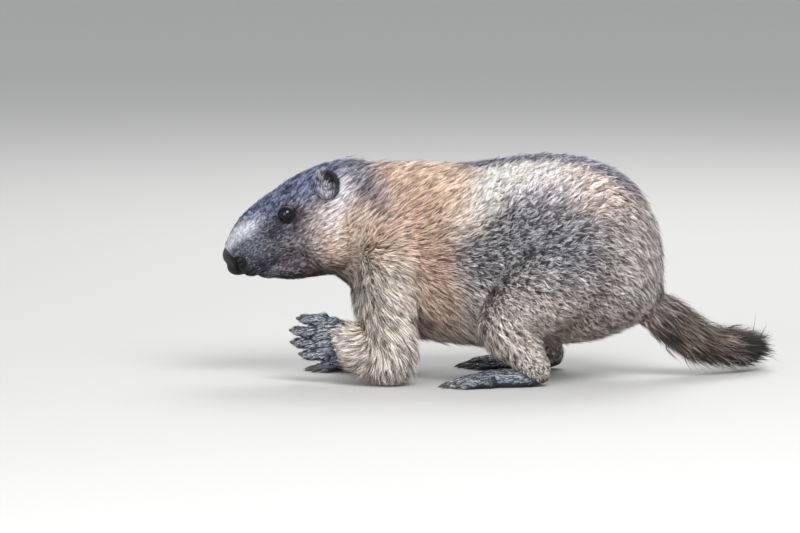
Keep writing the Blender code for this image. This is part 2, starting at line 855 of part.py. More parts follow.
def tail_locks():
    """The places and normals of rings of long locks along the tail, up to a tuft at its tip."""
    draw = np.random.RandomState(COAT_SEED)
    line = catmull(TAIL_PATH, 8)
    reach = sum((Vector(b[:3]) - Vector(a[:3])).length for a, b in zip(line, line[1:]))
    made = []
    for ring in range(TAIL_RINGS):
        share = ring / (TAIL_RINGS - 1)
        start = reach * (TAIL_FIRST_RING + (TAIL_LAST_RING - TAIL_FIRST_RING) * share)
        stand = TAIL_LOCK_STAND[0] + (TAIL_LOCK_STAND[1] - TAIL_LOCK_STAND[0]) * share
        for i in range(TAIL_LOCKS_ROUND):
            step = i + 0.5 * (ring % 2) + draw.uniform(-0.12, 0.12)
            turn = 2 * math.pi * step / TAIL_LOCKS_ROUND
            length = TAIL_LOCK_LENGTH * (1 + draw.uniform(-0.12, 0.12))
            places, normals = [], []
            for along in (0, 0.34, 0.67, 1):
                spot, radius, heading = tail_spot(line, start + length * along)
                across = heading.cross(UP).normalized()
                out = across * math.cos(turn) + across.cross(heading) * math.sin(turn)
                over = LOCK_CLEAR + stand * along**1.4 if along else -LOCK_SINK
                place = spot + out * (radius + over)
                place.z = max(place.z, LOWEST_HAIR + 0.0006 * i)
                places.append(place)
                normals.append(out)
            made.append((places, normals))
    return made


def fuse(thing, locks, rooms):
    """The locks are cut clear of the rooms round other nodes and joined to their own node."""
    if not locks:
        return thing
    group = bpy.data.collections.new("locks")
    for piece in locks[1:]:
        group.objects.link(piece)
    coat = locks[0]
    step = coat.modifiers.new("grow", "BOOLEAN")
    step.operation = "UNION"
    step.solver = "MANIFOLD"
    step.operand_type = "COLLECTION"
    step.collection = group
    settle(coat)
    for piece in locks[1:]:
        bpy.data.objects.remove(piece)
    bpy.data.collections.remove(group)
    for room in rooms:
        combine(coat, room, "DIFFERENCE", "MANIFOLD", keep=True)
    combine(thing, coat, "UNION", "MANIFOLD")
    keep_largest(thing)
    return thing


def finish_node(thing, name, colour, roughness=0.8):
    """The object gets its node's name, a material and soft shading."""
    thing.name = name
    thing.data.name = name
    material = bpy.data.materials.new(name)
    material.use_nodes = True
    shader = material.node_tree.nodes["Principled BSDF"]
    shader.inputs["Base Color"].default_value = (*colour, 1)
    shader.inputs["Roughness"].default_value = roughness
    thing.data.materials.clear()
    thing.data.materials.append(material)
    thing.data.shade_smooth()
    return thing


def flat_on_floor(thing):
    """What hangs below the floor is cut off, which leaves a flat to stand on."""
    return combine(thing, block((0.2, 0, 0), -UP, 0.1, 1.2), "DIFFERENCE")


FUR_TAN = (0.42, 0.30, 0.20)
FUR_GREY = (0.22, 0.21, 0.22)
FUR_DARK = (0.06, 0.055, 0.055)
SKIN_DARK = (0.03, 0.028, 0.03)


def legs_from(body):
    """Each leg taken out of the body, with a gap round it, and cut short of its foot."""
    legs = {}
    for right in (False, True):
        side = "right" if right else "left"
        for limb, rows in (("foreleg", foreleg_rows(right)), ("hindleg", hindleg_rows(right))):
            room = sleeve(rows)
            leg = copied(body, "leg")
            wider = grown(room, GAP)
            combine(leg, room, "INTERSECT")
            combine(body, wider, "DIFFERENCE")
            if limb == "foreleg":
                elbow = RIGHT_ELBOW if right else ELBOW
                wrist = RIGHT_WRIST if right else WRIST
                combine(leg, block(wrist, wrist - elbow, 0.05, 0.06), "DIFFERENCE")
            else:
                combine(leg, block((0.25, 0, ANKLE_CUT), -UP, 0.1, 0.5), "DIFFERENCE")
            keep_largest(leg)
            flat_on_floor(leg)
            legs[f"{limb}_{side}"] = finish_node(leg, f"{limb}_{side}", FUR_TAN)
    return legs


def head_and_face(head):
    """Eyes, ears and nose are set on the head, and the head is opened for them."""
    tree = tree_of(head)
    for way, side in ((-1, "left"), (1, "right")):
        centre, _ = eye_middle(tree, way)
        outward = (SIDE * way + ALONG * 0.18 + RISE * 0.10).normalized()
        rim = lid("lid", centre, outward, 0.10)
        combine(head, rim, "UNION")
        eye = ball("eye", centre, [EYE_RADIUS] * 3, segments=12, rings=8)
        room = ball("room", centre, [EYE_RADIUS + GAP] * 3, segments=12, rings=8)
        combine(head, room, "DIFFERENCE")
        finish_node(eye, f"eye_{side}", SKIN_DARK, 0.05)
    room = head_ball("room", NOSE_PLACE, [size + GAP for size in NOSE_SIZE], NOSE_SIDES)
    combine(head, room, "DIFFERENCE")
    combine(head, mouth_groove(tree), "DIFFERENCE")
    finish_node(nose_pad(), "nose", SKIN_DARK, 0.4)
    keep_largest(head)
    for way, side in ((-1, "left"), (1, "right")):
        finish_node(ear(way, head), f"ear_{side}", FUR_GREY)
    finish_node(head, "head", FUR_GREY)


def stand_on_origin():
    """Everything moves so that the origin is on the floor under the middle of the whole box."""
    nodes = [thing for thing in bpy.data.objects if thing.type == "MESH"]
    points = np.concatenate([np.array([vert.co for vert in node.data.vertices]) for node in nodes])
    middle = (points.min(axis=0) + points.max(axis=0)) / 2
    for node in nodes:
        node.data.transform(Matrix.Translation((-middle[0], -middle[1], 0)))


def main():
    clear_scene()
    body = body_cast()
    skin = copied(body, "skin")
    nodes = legs_from(body)
    head_and_face(head_solid())

    front = block(HEAD_BACK + HEAD_BACK_WAY * GAP, -HEAD_BACK_WAY, 0.3, 0.4)
    combine(body, front, "DIFFERENCE")
    neck = copied(body, "neck")
    combine(neck, block((NECK_CUT, 0, 0.1), (1, 0, 0), 0.5, 0.5), "DIFFERENCE")
    combine(body, block((NECK_CUT + GAP, 0, 0.1), (-1, 0, 0), 0.5, 0.5), "DIFFERENCE")
    combine(body, block(TAIL_START, TAIL_WAY, 0.2, 0.11), "DIFFERENCE")
    for thing, name in ((neck, "neck"), (body, "torso")):
        keep_largest(thing)
        nodes[name] = finish_node(thing, name, FUR_TAN)

    tail = tail_core()
    combine(tail, grown(body, GAP), "DIFFERENCE")
    finish_node(tail, "tail", FUR_DARK)

    for right in (False, True):
        side = "right" if right else "left"
        for made, limb in ((forepaw(right), "forepaw"), (hindfoot(right), "hindfoot")):
            flat_on_floor(made)
            keep_largest(made)
            finish_node(made, f"{limb}_{side}", FUR_DARK)

    on_tail = tail_locks()
    taken = [("tail", place) for places, _ in on_tail for place in places]
    locks = grow_coat(skin, nodes, taken)
    bpy.data.objects.remove(skin)
    locks["tail"] = [lock(places, normals, TAIL_LOCK_WIDTH) for places, normals in on_tail]
    nodes["tail"] = tail
    rooms = {name: grown(thing, GAP) for name, thing in nodes.items()}
    rooms["head"] = grown(bpy.data.objects["head"], GAP)
    for name, thing in nodes.items():
        fuse(thing, locks[name], [room for other, room in rooms.items() if other != name])
    for room in rooms.values():
        bpy.data.objects.remove(room)
    stand_on_origin()


if __name__ == "__main__":
    main()
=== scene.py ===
import math

import bmesh
import bpy
import numpy as np
from mathutils import Matrix, Vector
from mathutils.bvhtree import BVHTree
from mathutils.kdtree import KDTree


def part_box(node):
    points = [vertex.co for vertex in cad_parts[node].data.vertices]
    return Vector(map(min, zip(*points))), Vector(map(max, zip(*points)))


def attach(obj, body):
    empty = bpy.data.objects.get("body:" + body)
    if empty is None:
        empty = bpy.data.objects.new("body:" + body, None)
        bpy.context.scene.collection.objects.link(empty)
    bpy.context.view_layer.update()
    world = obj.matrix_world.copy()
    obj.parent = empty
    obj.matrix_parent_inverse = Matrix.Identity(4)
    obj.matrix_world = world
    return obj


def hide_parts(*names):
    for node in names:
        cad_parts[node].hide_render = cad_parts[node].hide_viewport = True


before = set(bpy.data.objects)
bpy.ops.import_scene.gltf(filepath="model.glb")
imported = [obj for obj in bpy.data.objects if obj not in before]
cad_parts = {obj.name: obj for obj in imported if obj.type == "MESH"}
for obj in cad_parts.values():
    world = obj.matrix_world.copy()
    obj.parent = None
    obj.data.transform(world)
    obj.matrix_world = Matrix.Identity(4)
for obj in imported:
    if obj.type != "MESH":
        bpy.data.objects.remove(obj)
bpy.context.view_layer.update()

# The body under the coat: the trunk, neck, head and limbs of a young alpine marmot, as one
# sheet of skin over muscle and fat. Each row is the animal's outline at the hair tips, less the
# depth of the coat there, and all forms are melted together so that no seam shows.
eye_low, eye_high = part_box("eye_left")
FRONT = (eye_low.x + eye_high.x) / 2 - 0.0534
BODY_LENGTH = 0.366
BACK_HEIGHT = 0.185
BODY_WIDTH = 0.156
HEAD_PITCH = math.radians(37)
EARS_MIDDLE = Vector((0.085, 0, 0.159))
ALONG = Vector((-math.cos(HEAD_PITCH), 0, -math.sin(HEAD_PITCH)))
RISE = Vector((-math.sin(HEAD_PITCH), 0, math.cos(HEAD_PITCH)))
SIDE = Vector((0, 1, 0))
UP = Vector((0, 0, 1))
SKIN_GRAIN = 0.0015


def in_head(along, side, rise):
    """The point at these distances along the head, to its right and up from its line."""
    return EARS_MIDDLE + ALONG * along + SIDE * side + RISE * rise


def catmull(rows, steps):
    """Rows of numbers on a smooth line through the given rows, with steps rows to each span."""
    rows = np.array(rows, float)
    padded = np.vstack([2 * rows[0] - rows[1], rows, 2 * rows[-1] - rows[-2]])
    made = []
    for i in range(len(rows) - 1):
        before, start, end, after = padded[i : i + 4]
        for t in np.linspace(0, 1, steps, endpoint=False):
            bend = 2 * before - 5 * start + 4 * end - after
            twist = 3 * start - before - 3 * end + after
            made.append(start + 0.5 * ((end - before) * t + bend * t**2 + twist * t**3))
    made.append(rows[-1])
    return np.array(made)


def oval(centre, across, up, half_width, above, below, squareness=2.0, sides=40):
    """A ring of points: an oval with its own reach above and below the centre."""
    power = 2.0 / squareness
    ring = []
    for i in range(sides):
        turn = 2 * math.pi * i / sides
        c, s = math.cos(turn), math.sin(turn)
        wide = half_width * math.copysign(abs(c) ** power, c)
        high = (above if s > 0 else below) * math.copysign(abs(s) ** power, s)
        ring.append(centre + across * wide + up * high)
    return ring


def loft(made, rings, closed=True):
    """A surface over rings of points, with a flat end at each side if it is closed."""
    loops = [[made.verts.new(point) for point in ring] for ring in rings]
    count = len(loops[0])
    for near, far in zip(loops, loops[1:]):
        for i in range(count):
            j = (i + 1) % count
            made.faces.new((near[i], near[j], far[j], far[i]))
    if closed:
        made.faces.new(loops[0])
        made.faces.new(loops[-1])
    return loops


def tube(made, rows, sides=24, steps=6):
    """A round limb through rows of x, y, z and radius, rounded off at both ends."""
    rows = catmull(rows, steps)
    points = [Vector(row[:3]) for row in rows]
    last = len(points) - 1
    across = (points[1] - points[0]).orthogonal().normalized()
    rings = []
    for i, point in enumerate(points):
        radius = rows[i][3]
        heading = (points[min(i + 1, last)] - points[max(i - 1, 0)]).normalized()
        across = (across - heading * across.dot(heading)).normalized()
        up = heading.cross(across)
        ring = [oval(point, across, up, radius, radius, radius, sides=sides)]
        if i in (0, last):
            way = -1 if i == 0 else 1
            for turn in (25, 50, 75):
                out = heading * way * radius * math.sin(math.radians(turn))
                small = radius * math.cos(math.radians(turn))
                ring.append(oval(point + out, across, up, small, small, small, sides=sides))
            ring = ring[::-1] if i == 0 else ring
        rings += ring
    loft(made, rings)


def axes(x_axis, y_axis, z_axis):
    return Matrix((x_axis, y_axis, z_axis)).transposed()


def ball(made, centre, radii, turn=None, segments=32, rings=20):
    """An ellipsoid, with turn as the rotation of its axes."""
    matrix = Matrix.Translation(centre) @ (turn or Matrix.Identity(3)).to_4x4()
    matrix = matrix @ Matrix.Diagonal((*radii, 1))
    bmesh.ops.create_uvsphere(
        made, u_segments=segments, v_segments=rings, radius=1, matrix=matrix
    )


def read(items, name, each=1, kind=float):
    """One property of all the items of a mesh, with each numbers to an item."""
    values = np.empty(len(items) * each, kind)
    items.foreach_get(name, values)
    return values.reshape(-1, each) if each > 1 else values


def mesh_of(made, name):
    """A finished bmesh as mesh data, with its faces turned outwards."""
    data = bpy.data.meshes.new(name)
    bmesh.ops.recalc_face_normals(made, faces=made.faces)
    made.to_mesh(data)
    made.free()
    return data


def in_scene(name, data):
    thing = bpy.data.objects.new(name, data)
    bpy.context.scene.collection.objects.link(thing)
    return thing


def melted(made, grain):
    """The forms of a bmesh as one skin: points and faces with four corners each."""
    data = mesh_of(made, "melt")
    thing = in_scene("melt", data)
    melt = thing.modifiers.new("melt", "REMESH")
    melt.mode = "VOXEL"
    melt.voxel_size = grain
    shaped = thing.evaluated_get(bpy.context.evaluated_depsgraph_get()).to_mesh()
    points = read(shaped.vertices, "co", 3)
    corners = read(shaped.loops, "vertex_index", kind=int).reshape(-1, 4)
    bpy.data.objects.remove(thing)
    bpy.data.meshes.remove(data)
    return points, corners


def eased(points, faces, rounds, share):
    """The points drawn towards the middle of their neighbours, by share in each round."""
    ends = np.concatenate([faces[:, [i, (i + 1) % 4]] for i in range(4)])
    count = np.bincount(ends[:, 0], minlength=len(points))
    for _ in range(rounds):
        middle = [
            np.bincount(ends[:, 0], points[ends[:, 1], axis], len(points)) / count
            for axis in range(3)
        ]
        points = points + (np.stack(middle, 1) - points) * share[:, None]
    return points


def ramp(values, start, end):
    """A smooth step from 0 at start to 1 at end."""
    share = np.clip((values - start) / (end - start), 0, 1)
    return share * share * (3 - 2 * share)


# Share of the length, top and bottom as shares of the height, half the width as a share
TRUNK_ROWS = (
    (0.300, 0.900, 0.340, 0.290),
    (0.335, 0.945, 0.255, 0.340),
    (0.400, 0.962, 0.185, 0.390),
    (0.490, 0.960, 0.150, 0.440),
    (0.555, 0.962, 0.138, 0.472),
    (0.623, 0.980, 0.130, 0.494),
    (0.713, 1.000, 0.130, 0.506),
    (0.779, 0.993, 0.140, 0.500),
    (0.847, 0.965, 0.160, 0.465),
    (0.902, 0.915, 0.193, 0.404),
    (0.948, 0.830, 0.235, 0.322),
    (0.980, 0.715, 0.300, 0.215),
    (0.997, 0.570, 0.420, 0.090),
)
BODY_COAT = 0.0086
# How much the back's fur is lifted, and the least half size of a ring
BACK_RISE = 0.0026
LEAST_HALF = 0.004
body = bmesh.new()
rings = []
for share, top, bottom, half in catmull(TRUNK_ROWS, 4):
    place = Vector((share * BODY_LENGTH - BODY_COAT * max(share - 0.8, 0) * 5, 0, 0))
    place.z = BACK_HEIGHT * (top + bottom) / 2 + BACK_RISE / 2
    tall = max(BACK_HEIGHT * (top - bottom) / 2 + BACK_RISE / 2 - BODY_COAT, LEAST_HALF)
    wide = max(half * BODY_WIDTH - BODY_COAT, LEAST_HALF)
    rings.append(oval(place, SIDE, UP, wide, tall, tall, 2.15))
loft(body, rings)

# x, the middle's height, half the depth and half the width of the neck
NECK_ROWS = (
    (0.072, 0.122, 0.040, 0.038),
    (0.097, 0.127, 0.051, 0.046),
    (0.122, 0.119, 0.061, 0.056),
    (0.150, 0.109, 0.070, 0.060),
)
rings = []
for x, height, deep, half in catmull(NECK_ROWS, 4):
    deep, half = deep - BODY_COAT, half - BODY_COAT
    rings.append(oval(Vector((x, 0, height)), SIDE, UP, half, deep, deep, 2.1))
loft(body, rings)

# Along the head, the middle's rise, half the width, reach above and below, depth of the coat
SKULL_ROWS = (
    (-0.030, -0.028, 0.034, 0.0315, 0.034, 0.0085),
    (-0.012, -0.022, 0.0385, 0.0378, 0.038, 0.0062),
    (0.012, -0.019, 0.0385, 0.0412, 0.036, 0.0042),
    (0.034, -0.016, 0.0350, 0.0392, 0.033, 0.0030),
    (0.052, -0.012, 0.0295, 0.0355, 0.026, 0.0021),
    (0.068, -0.008, 0.0245, 0.0300, 0.021, 0.0014),
    (0.080, -0.0055, 0.0218, 0.0240, 0.0185, 0.0011),
    (0.089, -0.0040, 0.0168, 0.0182, 0.0160, 0.0009),
    (0.0960, -0.0035, 0.0120, 0.0138, 0.0120, 0.0008),
    (0.1000, -0.0030, 0.0068, 0.0082, 0.0070, 0.0008),
)
rings = []
for along, rise, half, above, below, coat in catmull(SKULL_ROWS, 4):
    centre = in_head(along, 0, rise)
    rings.append(oval(centre, SIDE, RISE, half - coat, above - coat, below - coat, 2.25))
loft(body, rings)

# Along the head, the middle's rise, half the width and half the depth of the lower jaw
JAW_ROWS = (
    (-0.010, -0.056, 0.028, 0.0145),
    (0.020, -0.055, 0.025, 0.0140),
    (0.045, -0.046, 0.0195, 0.0115),
    (0.068, -0.0365, 0.0140, 0.0088),
    (0.078, -0.0304, 0.0106, 0.0062),
    (0.0840, -0.0280, 0.0078, 0.0046),
    (0.0872, -0.0270, 0.0050, 0.0028),
    (0.0886, -0.0266, 0.0022, 0.0012),
)
rings = []
for along, rise, half, deep in catmull(JAW_ROWS, 4):
    rings.append(oval(in_head(along, 0, rise), SIDE, RISE, half, deep, deep))
loft(body, rings)

# Cheek, whisker pad and brow on each side: place in the head and radii
head_turn = axes(ALONG, SIDE, RISE)


def from_head(points):
    """Each point's distances along the head, to its right and up from its line."""
    return (points - np.array(EARS_MIDDLE)) @ np.array(head_turn)


for way in (-1, 1):
    for place, radii in (
        ((0.020, 0.0255, -0.036), (0.028, 0.0145, 0.0235)),
        ((0.0745, 0.0118, -0.013), (0.0160, 0.0108, 0.0112)),
        ((0.0850, 0.0070, -0.0165), (0.0130, 0.0098, 0.0088)),
        ((0.038, 0.0210, 0.0070), (0.0140, 0.0068, 0.0052)),
    ):
        ball(body, in_head(place[0], way * place[1], place[2]), radii, head_turn)

# The chest, low between the arms
ball(body, Vector((0.133, 0, 0.074)), (0.022, 0.036, 0.034))

# Limbs as rows of x, y, z, radius. The left side is at -Y, and its forepaw is in the air.
ARM_ROWS = (
    (0.140, -0.034, 0.111, 0.0270),
    (0.1355, -0.052, 0.0627, 0.0185),
    (0.141, -0.061, 0.0205, 0.0130),
    (0.1205, -0.054, 0.0285, 0.0165),
    (0.1035, -0.0470, 0.0365, 0.0130),
    (0.0985, -0.0452, 0.0385, 0.0110),
)
RIGHT_ARM_ROWS = (
    (0.140, 0.034, 0.111, 0.0270),
    (0.140, 0.052, 0.078, 0.0185),
    (0.150, 0.059, 0.048, 0.0135),
    (0.1335, 0.0565, 0.0335, 0.0124),
    (0.117, 0.053, 0.0190, 0.0122),
    (0.110, 0.0516, 0.0145, 0.0110),
)
LEG_ROWS = (
    (0.284, -0.038, 0.100, 0.0410),
    (0.258, -0.0560, 0.0795, 0.0340),
    (0.232, -0.0670, 0.051, 0.0185),
    (0.2452, -0.0672, 0.0307, 0.0140),
    (0.256, -0.067, 0.014, 0.0118),
)
RIGHT_HIND_SHIFT = 0.014
TAIL_ROWS = (
    (0.330, 0.000, 0.074, 0.0150),
    (0.364, 0.006, 0.048, 0.0105),
    (0.392, 0.018, 0.029, 0.0085),
    (0.418, 0.036, 0.022, 0.0075),
    (0.436, 0.056, 0.019, 0.0050),
)
RIGHT_LEG_ROWS = [(x + RIGHT_HIND_SHIFT, -y, z, radius) for x, y, z, radius in LEG_ROWS]
for rows in (ARM_ROWS, RIGHT_ARM_ROWS, LEG_ROWS, RIGHT_LEG_ROWS, TAIL_ROWS):
    tube(body, rows)
points, faces = melted(body, SKIN_GRAIN)
softness = 0.10 + 0.40 * ramp(from_head(points)[:, 0], 0.005, -0.035)
points = eased(points, faces, 36, softness)

# The paws: naked dark palms and soles with pads, and toes with short dark hair on their backs.
# They are flesh too, made at a finer grain than the body so that each toe keeps its shape, and
# their wrists run on inside the sleeves of the legs.
PAW_GRAIN = 0.0008
KNUCKLE = (0.0046, 0.0041, 0.0041)
TOE_PAD = (0.0037, 0.0034, 0.0034)
# Lengths in metres, turns in degrees from the way that the toes point down towards the palm
FORE_FOOT = {
    "toes": 4,
    "palm": (0.0160, 0.0145, 0.0088),
    "palm_reach": 0.010,
    "palm_lift": -0.0105,
    "toe_start": 0.45,
    "spread": 0.0125,
    "splay": 14,
    "arch": 0.25,
    "toe_lift": -0.0015,
    "lengths": (0.007, 0.008, 0.007),
    "bends": (-6, 18, 26),
    "toe_radii": (0.0045, 0.0040, 0.0037, 0.0029),
    "claw": (0.006, 0.005, 0.004),
    "claw_lift": 0.0010,
    "claw_bends": (6, 18, 30),
    "claw_radii": (0.0020, 0.0017, 0.0011, 0.0002),
}
GRIP_FOOT = {
    **FORE_FOOT,
    "palm": (0.0150, 0.0156, 0.0088),
    "palm_lift": 0.0,
    "toe_radii": (0.0047, 0.0044, 0.0041, 0.0030),
    "spread": 0.0146,
    "splay": 0,
    "toe_lift": 0.0012,
    "lengths": (0.009, 0.0105, 0.010),
    "bends": (2, 28, 68),
    "claw_bends": (50, 70, 92),
}
HIND_FOOT = {
    **FORE_FOOT,
    "toes": 5,
    "palm": (0.0325, 0.0125, 0.0078),
    "palm_reach": 0.022,
    "palm_lift": -0.0075,
    "spread": 0.0120,
    "splay": 12,
    "toe_start": 0.60,
    "lengths": (0.010, 0.010, 0.008),
    "bends": (-4, 10, 18),
    "toe_radii": (0.0048, 0.0043, 0.0041, 0.0034),
    "claw": (0.005, 0.004, 0.003),
    "claw_bends": (4, 14, 26),
    "claw_radii": (0.0019, 0.0016, 0.0010, 0.0002),
}


def toe_rows(start, forward, back, lengths, bends, radii):
    """Rows of a toe or claw that starts along forward and bends away from back."""
    rows = [(*start, radii[0])]
    point = Vector(start)
    for length, bend, radius in zip(lengths, bends, radii[1:]):
        turn = math.radians(bend)
        point = point + (forward * math.cos(turn) - back * math.sin(turn)) * length
        rows.append((*point, radius))
    return rows


def paw(flesh, stub, forward, across, back, plan):
    """The flesh of a paw, and the rows of its claws. forward is where the toes point, across is
    the way that they are set side by side, and back is the side that carries the fur."""
    forward, across, back = (Vector(way).normalized() for way in (forward, across, back))
    end = Vector(stub[-1][:3])
    palm = end + forward * plan["palm_reach"] + back * plan["palm_lift"]
    ball(flesh, palm, plan["palm"], axes(forward, across, back))
    tube(flesh, stub)
    nails = []
    count = plan["toes"]
    for i in range(count):
        share = 2 * i / (count - 1) - 1
        splay = math.radians(plan["splay"]) * share
        heading = (forward * math.cos(splay) + across * math.sin(splay)).normalized()
        arch = 1 - plan["arch"] * share**2
        start = palm + across * plan["spread"] * share + back * plan["toe_lift"]
        start = start + forward * plan["palm"][0] * plan["toe_start"] * arch
        lengths = [length * arch for length in plan["lengths"]]
        rows = toe_rows(start, heading, back, lengths, plan["bends"], plan["toe_radii"])
        tube(flesh, rows, sides=16)
        before, tip = Vector(rows[-2][:3]), Vector(rows[-1][:3])
        knuckle = Vector(rows[-3][:3]).lerp(before, 0.9) + back * 0.0004
        ball(flesh, knuckle, KNUCKLE)
        ball(flesh, tip - back * 0.0008, TOE_PAD)
        way = (tip - before).normalized()
        outer = (back - way * back.dot(way)).normalized()
        inner = tip - way * 0.001 + outer * plan["claw_lift"]
        bends, radii = plan["claw_bends"], plan["claw_radii"]
        nails.append(toe_rows(inner, heading, back, plan["claw"], bends, radii))
    return nails


GRIP_WRIST = (0.102, -0.0465, 0.0385)
paws = bmesh.new()
claw_rows = []
for row, before, heading, across, back, plan in (
    (GRIP_WRIST, ARM_ROWS[2], (-1, 0.06, -0.06), (-0.06, 0, 1), (0, -1, 0), GRIP_FOOT),
    (RIGHT_ARM_ROWS[4], RIGHT_ARM_ROWS[2], (-1, 0, 0), (0, -1, 0), (0, 0, 1), FORE_FOOT),
):
    wrist, elbow = Vector(row[:3]), Vector(before[:3])
    way = (wrist - elbow).normalized()
    stub = [
        (*(wrist - way * 0.014), 0.0118),
        (*(wrist - way * 0.004), 0.0122),
        (*(wrist + way * 0.002), 0.0116),
    ]
    claw_rows += paw(paws, stub, heading, across, back, plan)
for way, leg in ((-1, LEG_ROWS), (1, RIGHT_LEG_ROWS)):
    knee, heel = Vector(leg[2][:3]), Vector(leg[4][:3])
    rise = (knee - heel).normalized()
    stub = [(*(heel + rise * 0.026), 0.0125), (*(heel + rise * 0.014), 0.0125), (*heel, 0.0112)]
    claw_rows += paw(paws, stub, (-1, way * 0.10, 0), (0, -way, 0), (0, 0, 1), HIND_FOOT)
paw_points, paw_faces = melted(paws, PAW_GRAIN)
paw_points = eased(paw_points, paw_faces, 4, np.full(len(paw_points), 0.4))

# The ears: low round cups of gristle, open to the side, furred inside and out. Each has a thick
# rim that stands furthest off the head at the top and back, where its shadow shows.
EAR_PLACE = (-0.002, 0.0335, 0.0010)
EAR_HALF = 0.0090
EAR_TALL = 0.0113
EAR_SIDES = 40
# Share of the ear's radius and the reach off its middle, from the cup round the rim to the back
EAR_PROFILE = (
    (0.02, -0.0012),
    (0.30, -0.0010),
    (0.58, -0.0002),
    (0.78, 0.0014),
    (0.90, 0.0030),
    (0.98, 0.0034),
    (1.03, 0.0024),
    (1.02, 0.0006),
    (0.94, -0.0026),
    (0.84, -0.0070),
    (0.70, -0.0110),
)
ears = bmesh.new()
ear_middles = []
for way in (-1, 1):
    outward = (SIDE * way * 0.90 + ALONG * 0.30 + RISE * 0.24).normalized()
    tall = RISE - ALONG * 0.25
    tall = (tall - outward * tall.dot(outward)).normalized()
    across = tall.cross(outward) * way
    middle = in_head(EAR_PLACE[0], way * EAR_PLACE[1], EAR_PLACE[2]) + outward * 0.0003
    ear_middles.append(np.array(middle))
    rings = []
    for share, reach in EAR_PROFILE:
        ring = []
        for i in range(EAR_SIDES):
            turn = 2 * math.pi * i / EAR_SIDES
            behind = 0.5 - 0.5 * math.cos(turn - math.radians(155))
            lift = reach * (0.30 + 1.05 * behind) if reach > 0 else reach
            lift -= 0.0022 * (1 - behind) ** 2
            spot = across * EAR_HALF * math.cos(turn) + tall * EAR_TALL * math.sin(turn)
            ring.append(middle + spot * share + outward * lift)
        rings.append(ring)
    loft(ears, rings)

# The eyelids: a dark, hairless rim round each eye, thicker above, that slopes down into the fur.
# They are joined to the skin and lie on the eyeball.
EYE_RADIUS = 0.0078
EYE_SET_BACK = 0.0010
LID_HALF = 0.0062
LID_TALL = 0.0054
LID_SIDES = 48
# How far out from the opening, in shares of it, and how high over the eyeball each loop lies
LID_PROFILE = (
    (0.90, -0.0010),
    (0.96, 0.0001),
    (1.00, 0.0006),
    (1.05, 0.0007),
    (1.11, 0.0001),
    (1.17, 0.0005),
    (1.24, 0.0009),
    (1.33, 0.0000),
    (1.50, -0.0024),
)
lids = bmesh.new()
eye_places = {}
for way, side in ((-1, "left"), (1, "right")):
    low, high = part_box(f"eye_{side}")
    centre = (low + high) / 2 - Vector((FRONT, 0, 0))
    outward = (SIDE * way + ALONG * 0.18 + RISE * 0.10).normalized()
    centre -= outward * EYE_SET_BACK
    eye_places[side] = (centre, outward)
    across = (ALONG - outward * ALONG.dot(outward)).normalized()
    up = outward.cross(across)
    up = up if up.dot(RISE) > 0 else -up
    rings = []
    for share, over in LID_PROFILE:
        ring = []
        for i in range(LID_SIDES):
            turn = 2 * math.pi * i / LID_SIDES
            x = LID_HALF * math.cos(turn) * share
            corner = 1 - 0.10 * abs(math.cos(turn)) ** 6
            y = LID_TALL * math.sin(turn) * share * corner + 0.10 * x
            flat = min((x * x + y * y) / EYE_RADIUS**2, 0.96)
            thick = over * (1.25 if math.sin(turn) > 0 else 0.85)
            out = EYE_RADIUS * math.sqrt(1 - flat) + thick
            ring.append(centre + across * x + up * y + outward * out)
        rings.append(ring)
    loft(lids, rings, closed=False)

# The whole skin: body, paws, ears and lids in one object, with the soles pressed flat on the
# floor, a socket sunk round each eye, and the line of the mouth drawn in from lip to lip.
LIPS_LINE = ((0.058, 0.040, -0.0405), (0.068, 0.035, -0.0345), (0.079, 0.028, -0.0275))
LIPS_LINE += ((0.090, 0.020, -0.0225), (0.099, 0.012, -0.0195))
SKIN_OFF_FLOOR = 0.0022
SOLES_OFF_FLOOR = 0.0004
# The parts of the skin, in the order in which they are joined
ON_BODY, ON_PAWS, ON_EARS, ON_LIDS = range(4)


def tree_of(points, faces):
    return BVHTree.FromPolygons([tuple(p) for p in points], faces.tolist())


def from_line(points, line):
    """How far each point is from a line of straight spans."""
    line = np.array(line)
    found = np.full(len(points), 1.0)
    for start, end in zip(line, line[1:]):
        span = end - start
        share = np.clip((points - start) @ span / (span @ span), 0, 1)
        found = np.minimum(found, np.linalg.norm(points - start - share[:, None] * span, axis=1))
    return found


def normals_of(points, faces):
    """Each point's normal, as the mean of its faces."""
    across = points[faces[:, 2]] - points[faces[:, 0]]
    flat = np.cross(across, points[faces[:, 3]] - points[faces[:, 1]])
    summed = np.zeros(points.shape)
    for axis in range(3):
        for i in range(4):
            summed[:, axis] += np.bincount(faces[:, i], flat[:, axis], len(points))
    return summed / np.maximum(np.linalg.norm(summed, axis=1), 1e-12)[:, None]


def mesh_from(name, points, faces):
    data = bpy.data.meshes.new(name)
    data.from_pydata(points.tolist(), [], faces.tolist())
    return data


tree = tree_of(points, faces)
line = [(a, -s, h) for a, s, h in LIPS_LINE] + [(0.112, 0.0, -0.0190)] + list(LIPS_LINE[::-1])
mouth = [tuple(tree.find_nearest(in_head(*place))[0]) for place in line]
normals = normals_of(points, faces)
sunk = 0.0016 * np.exp(-((from_line(points, mouth) / 0.0018) ** 2))
for centre, outward in eye_places.values():
    away = np.linalg.norm(points - np.array(centre + outward * 0.005), axis=1)
    sunk += 0.0030 * ramp(away, 0.0130, 0.0070)
points = points - normals * sunk[:, None]
points[:, 2] = np.maximum(points[:, 2], SKIN_OFF_FLOOR)
paw_points[:, 2] = np.maximum(paw_points[:, 2], SOLES_OFF_FLOOR)

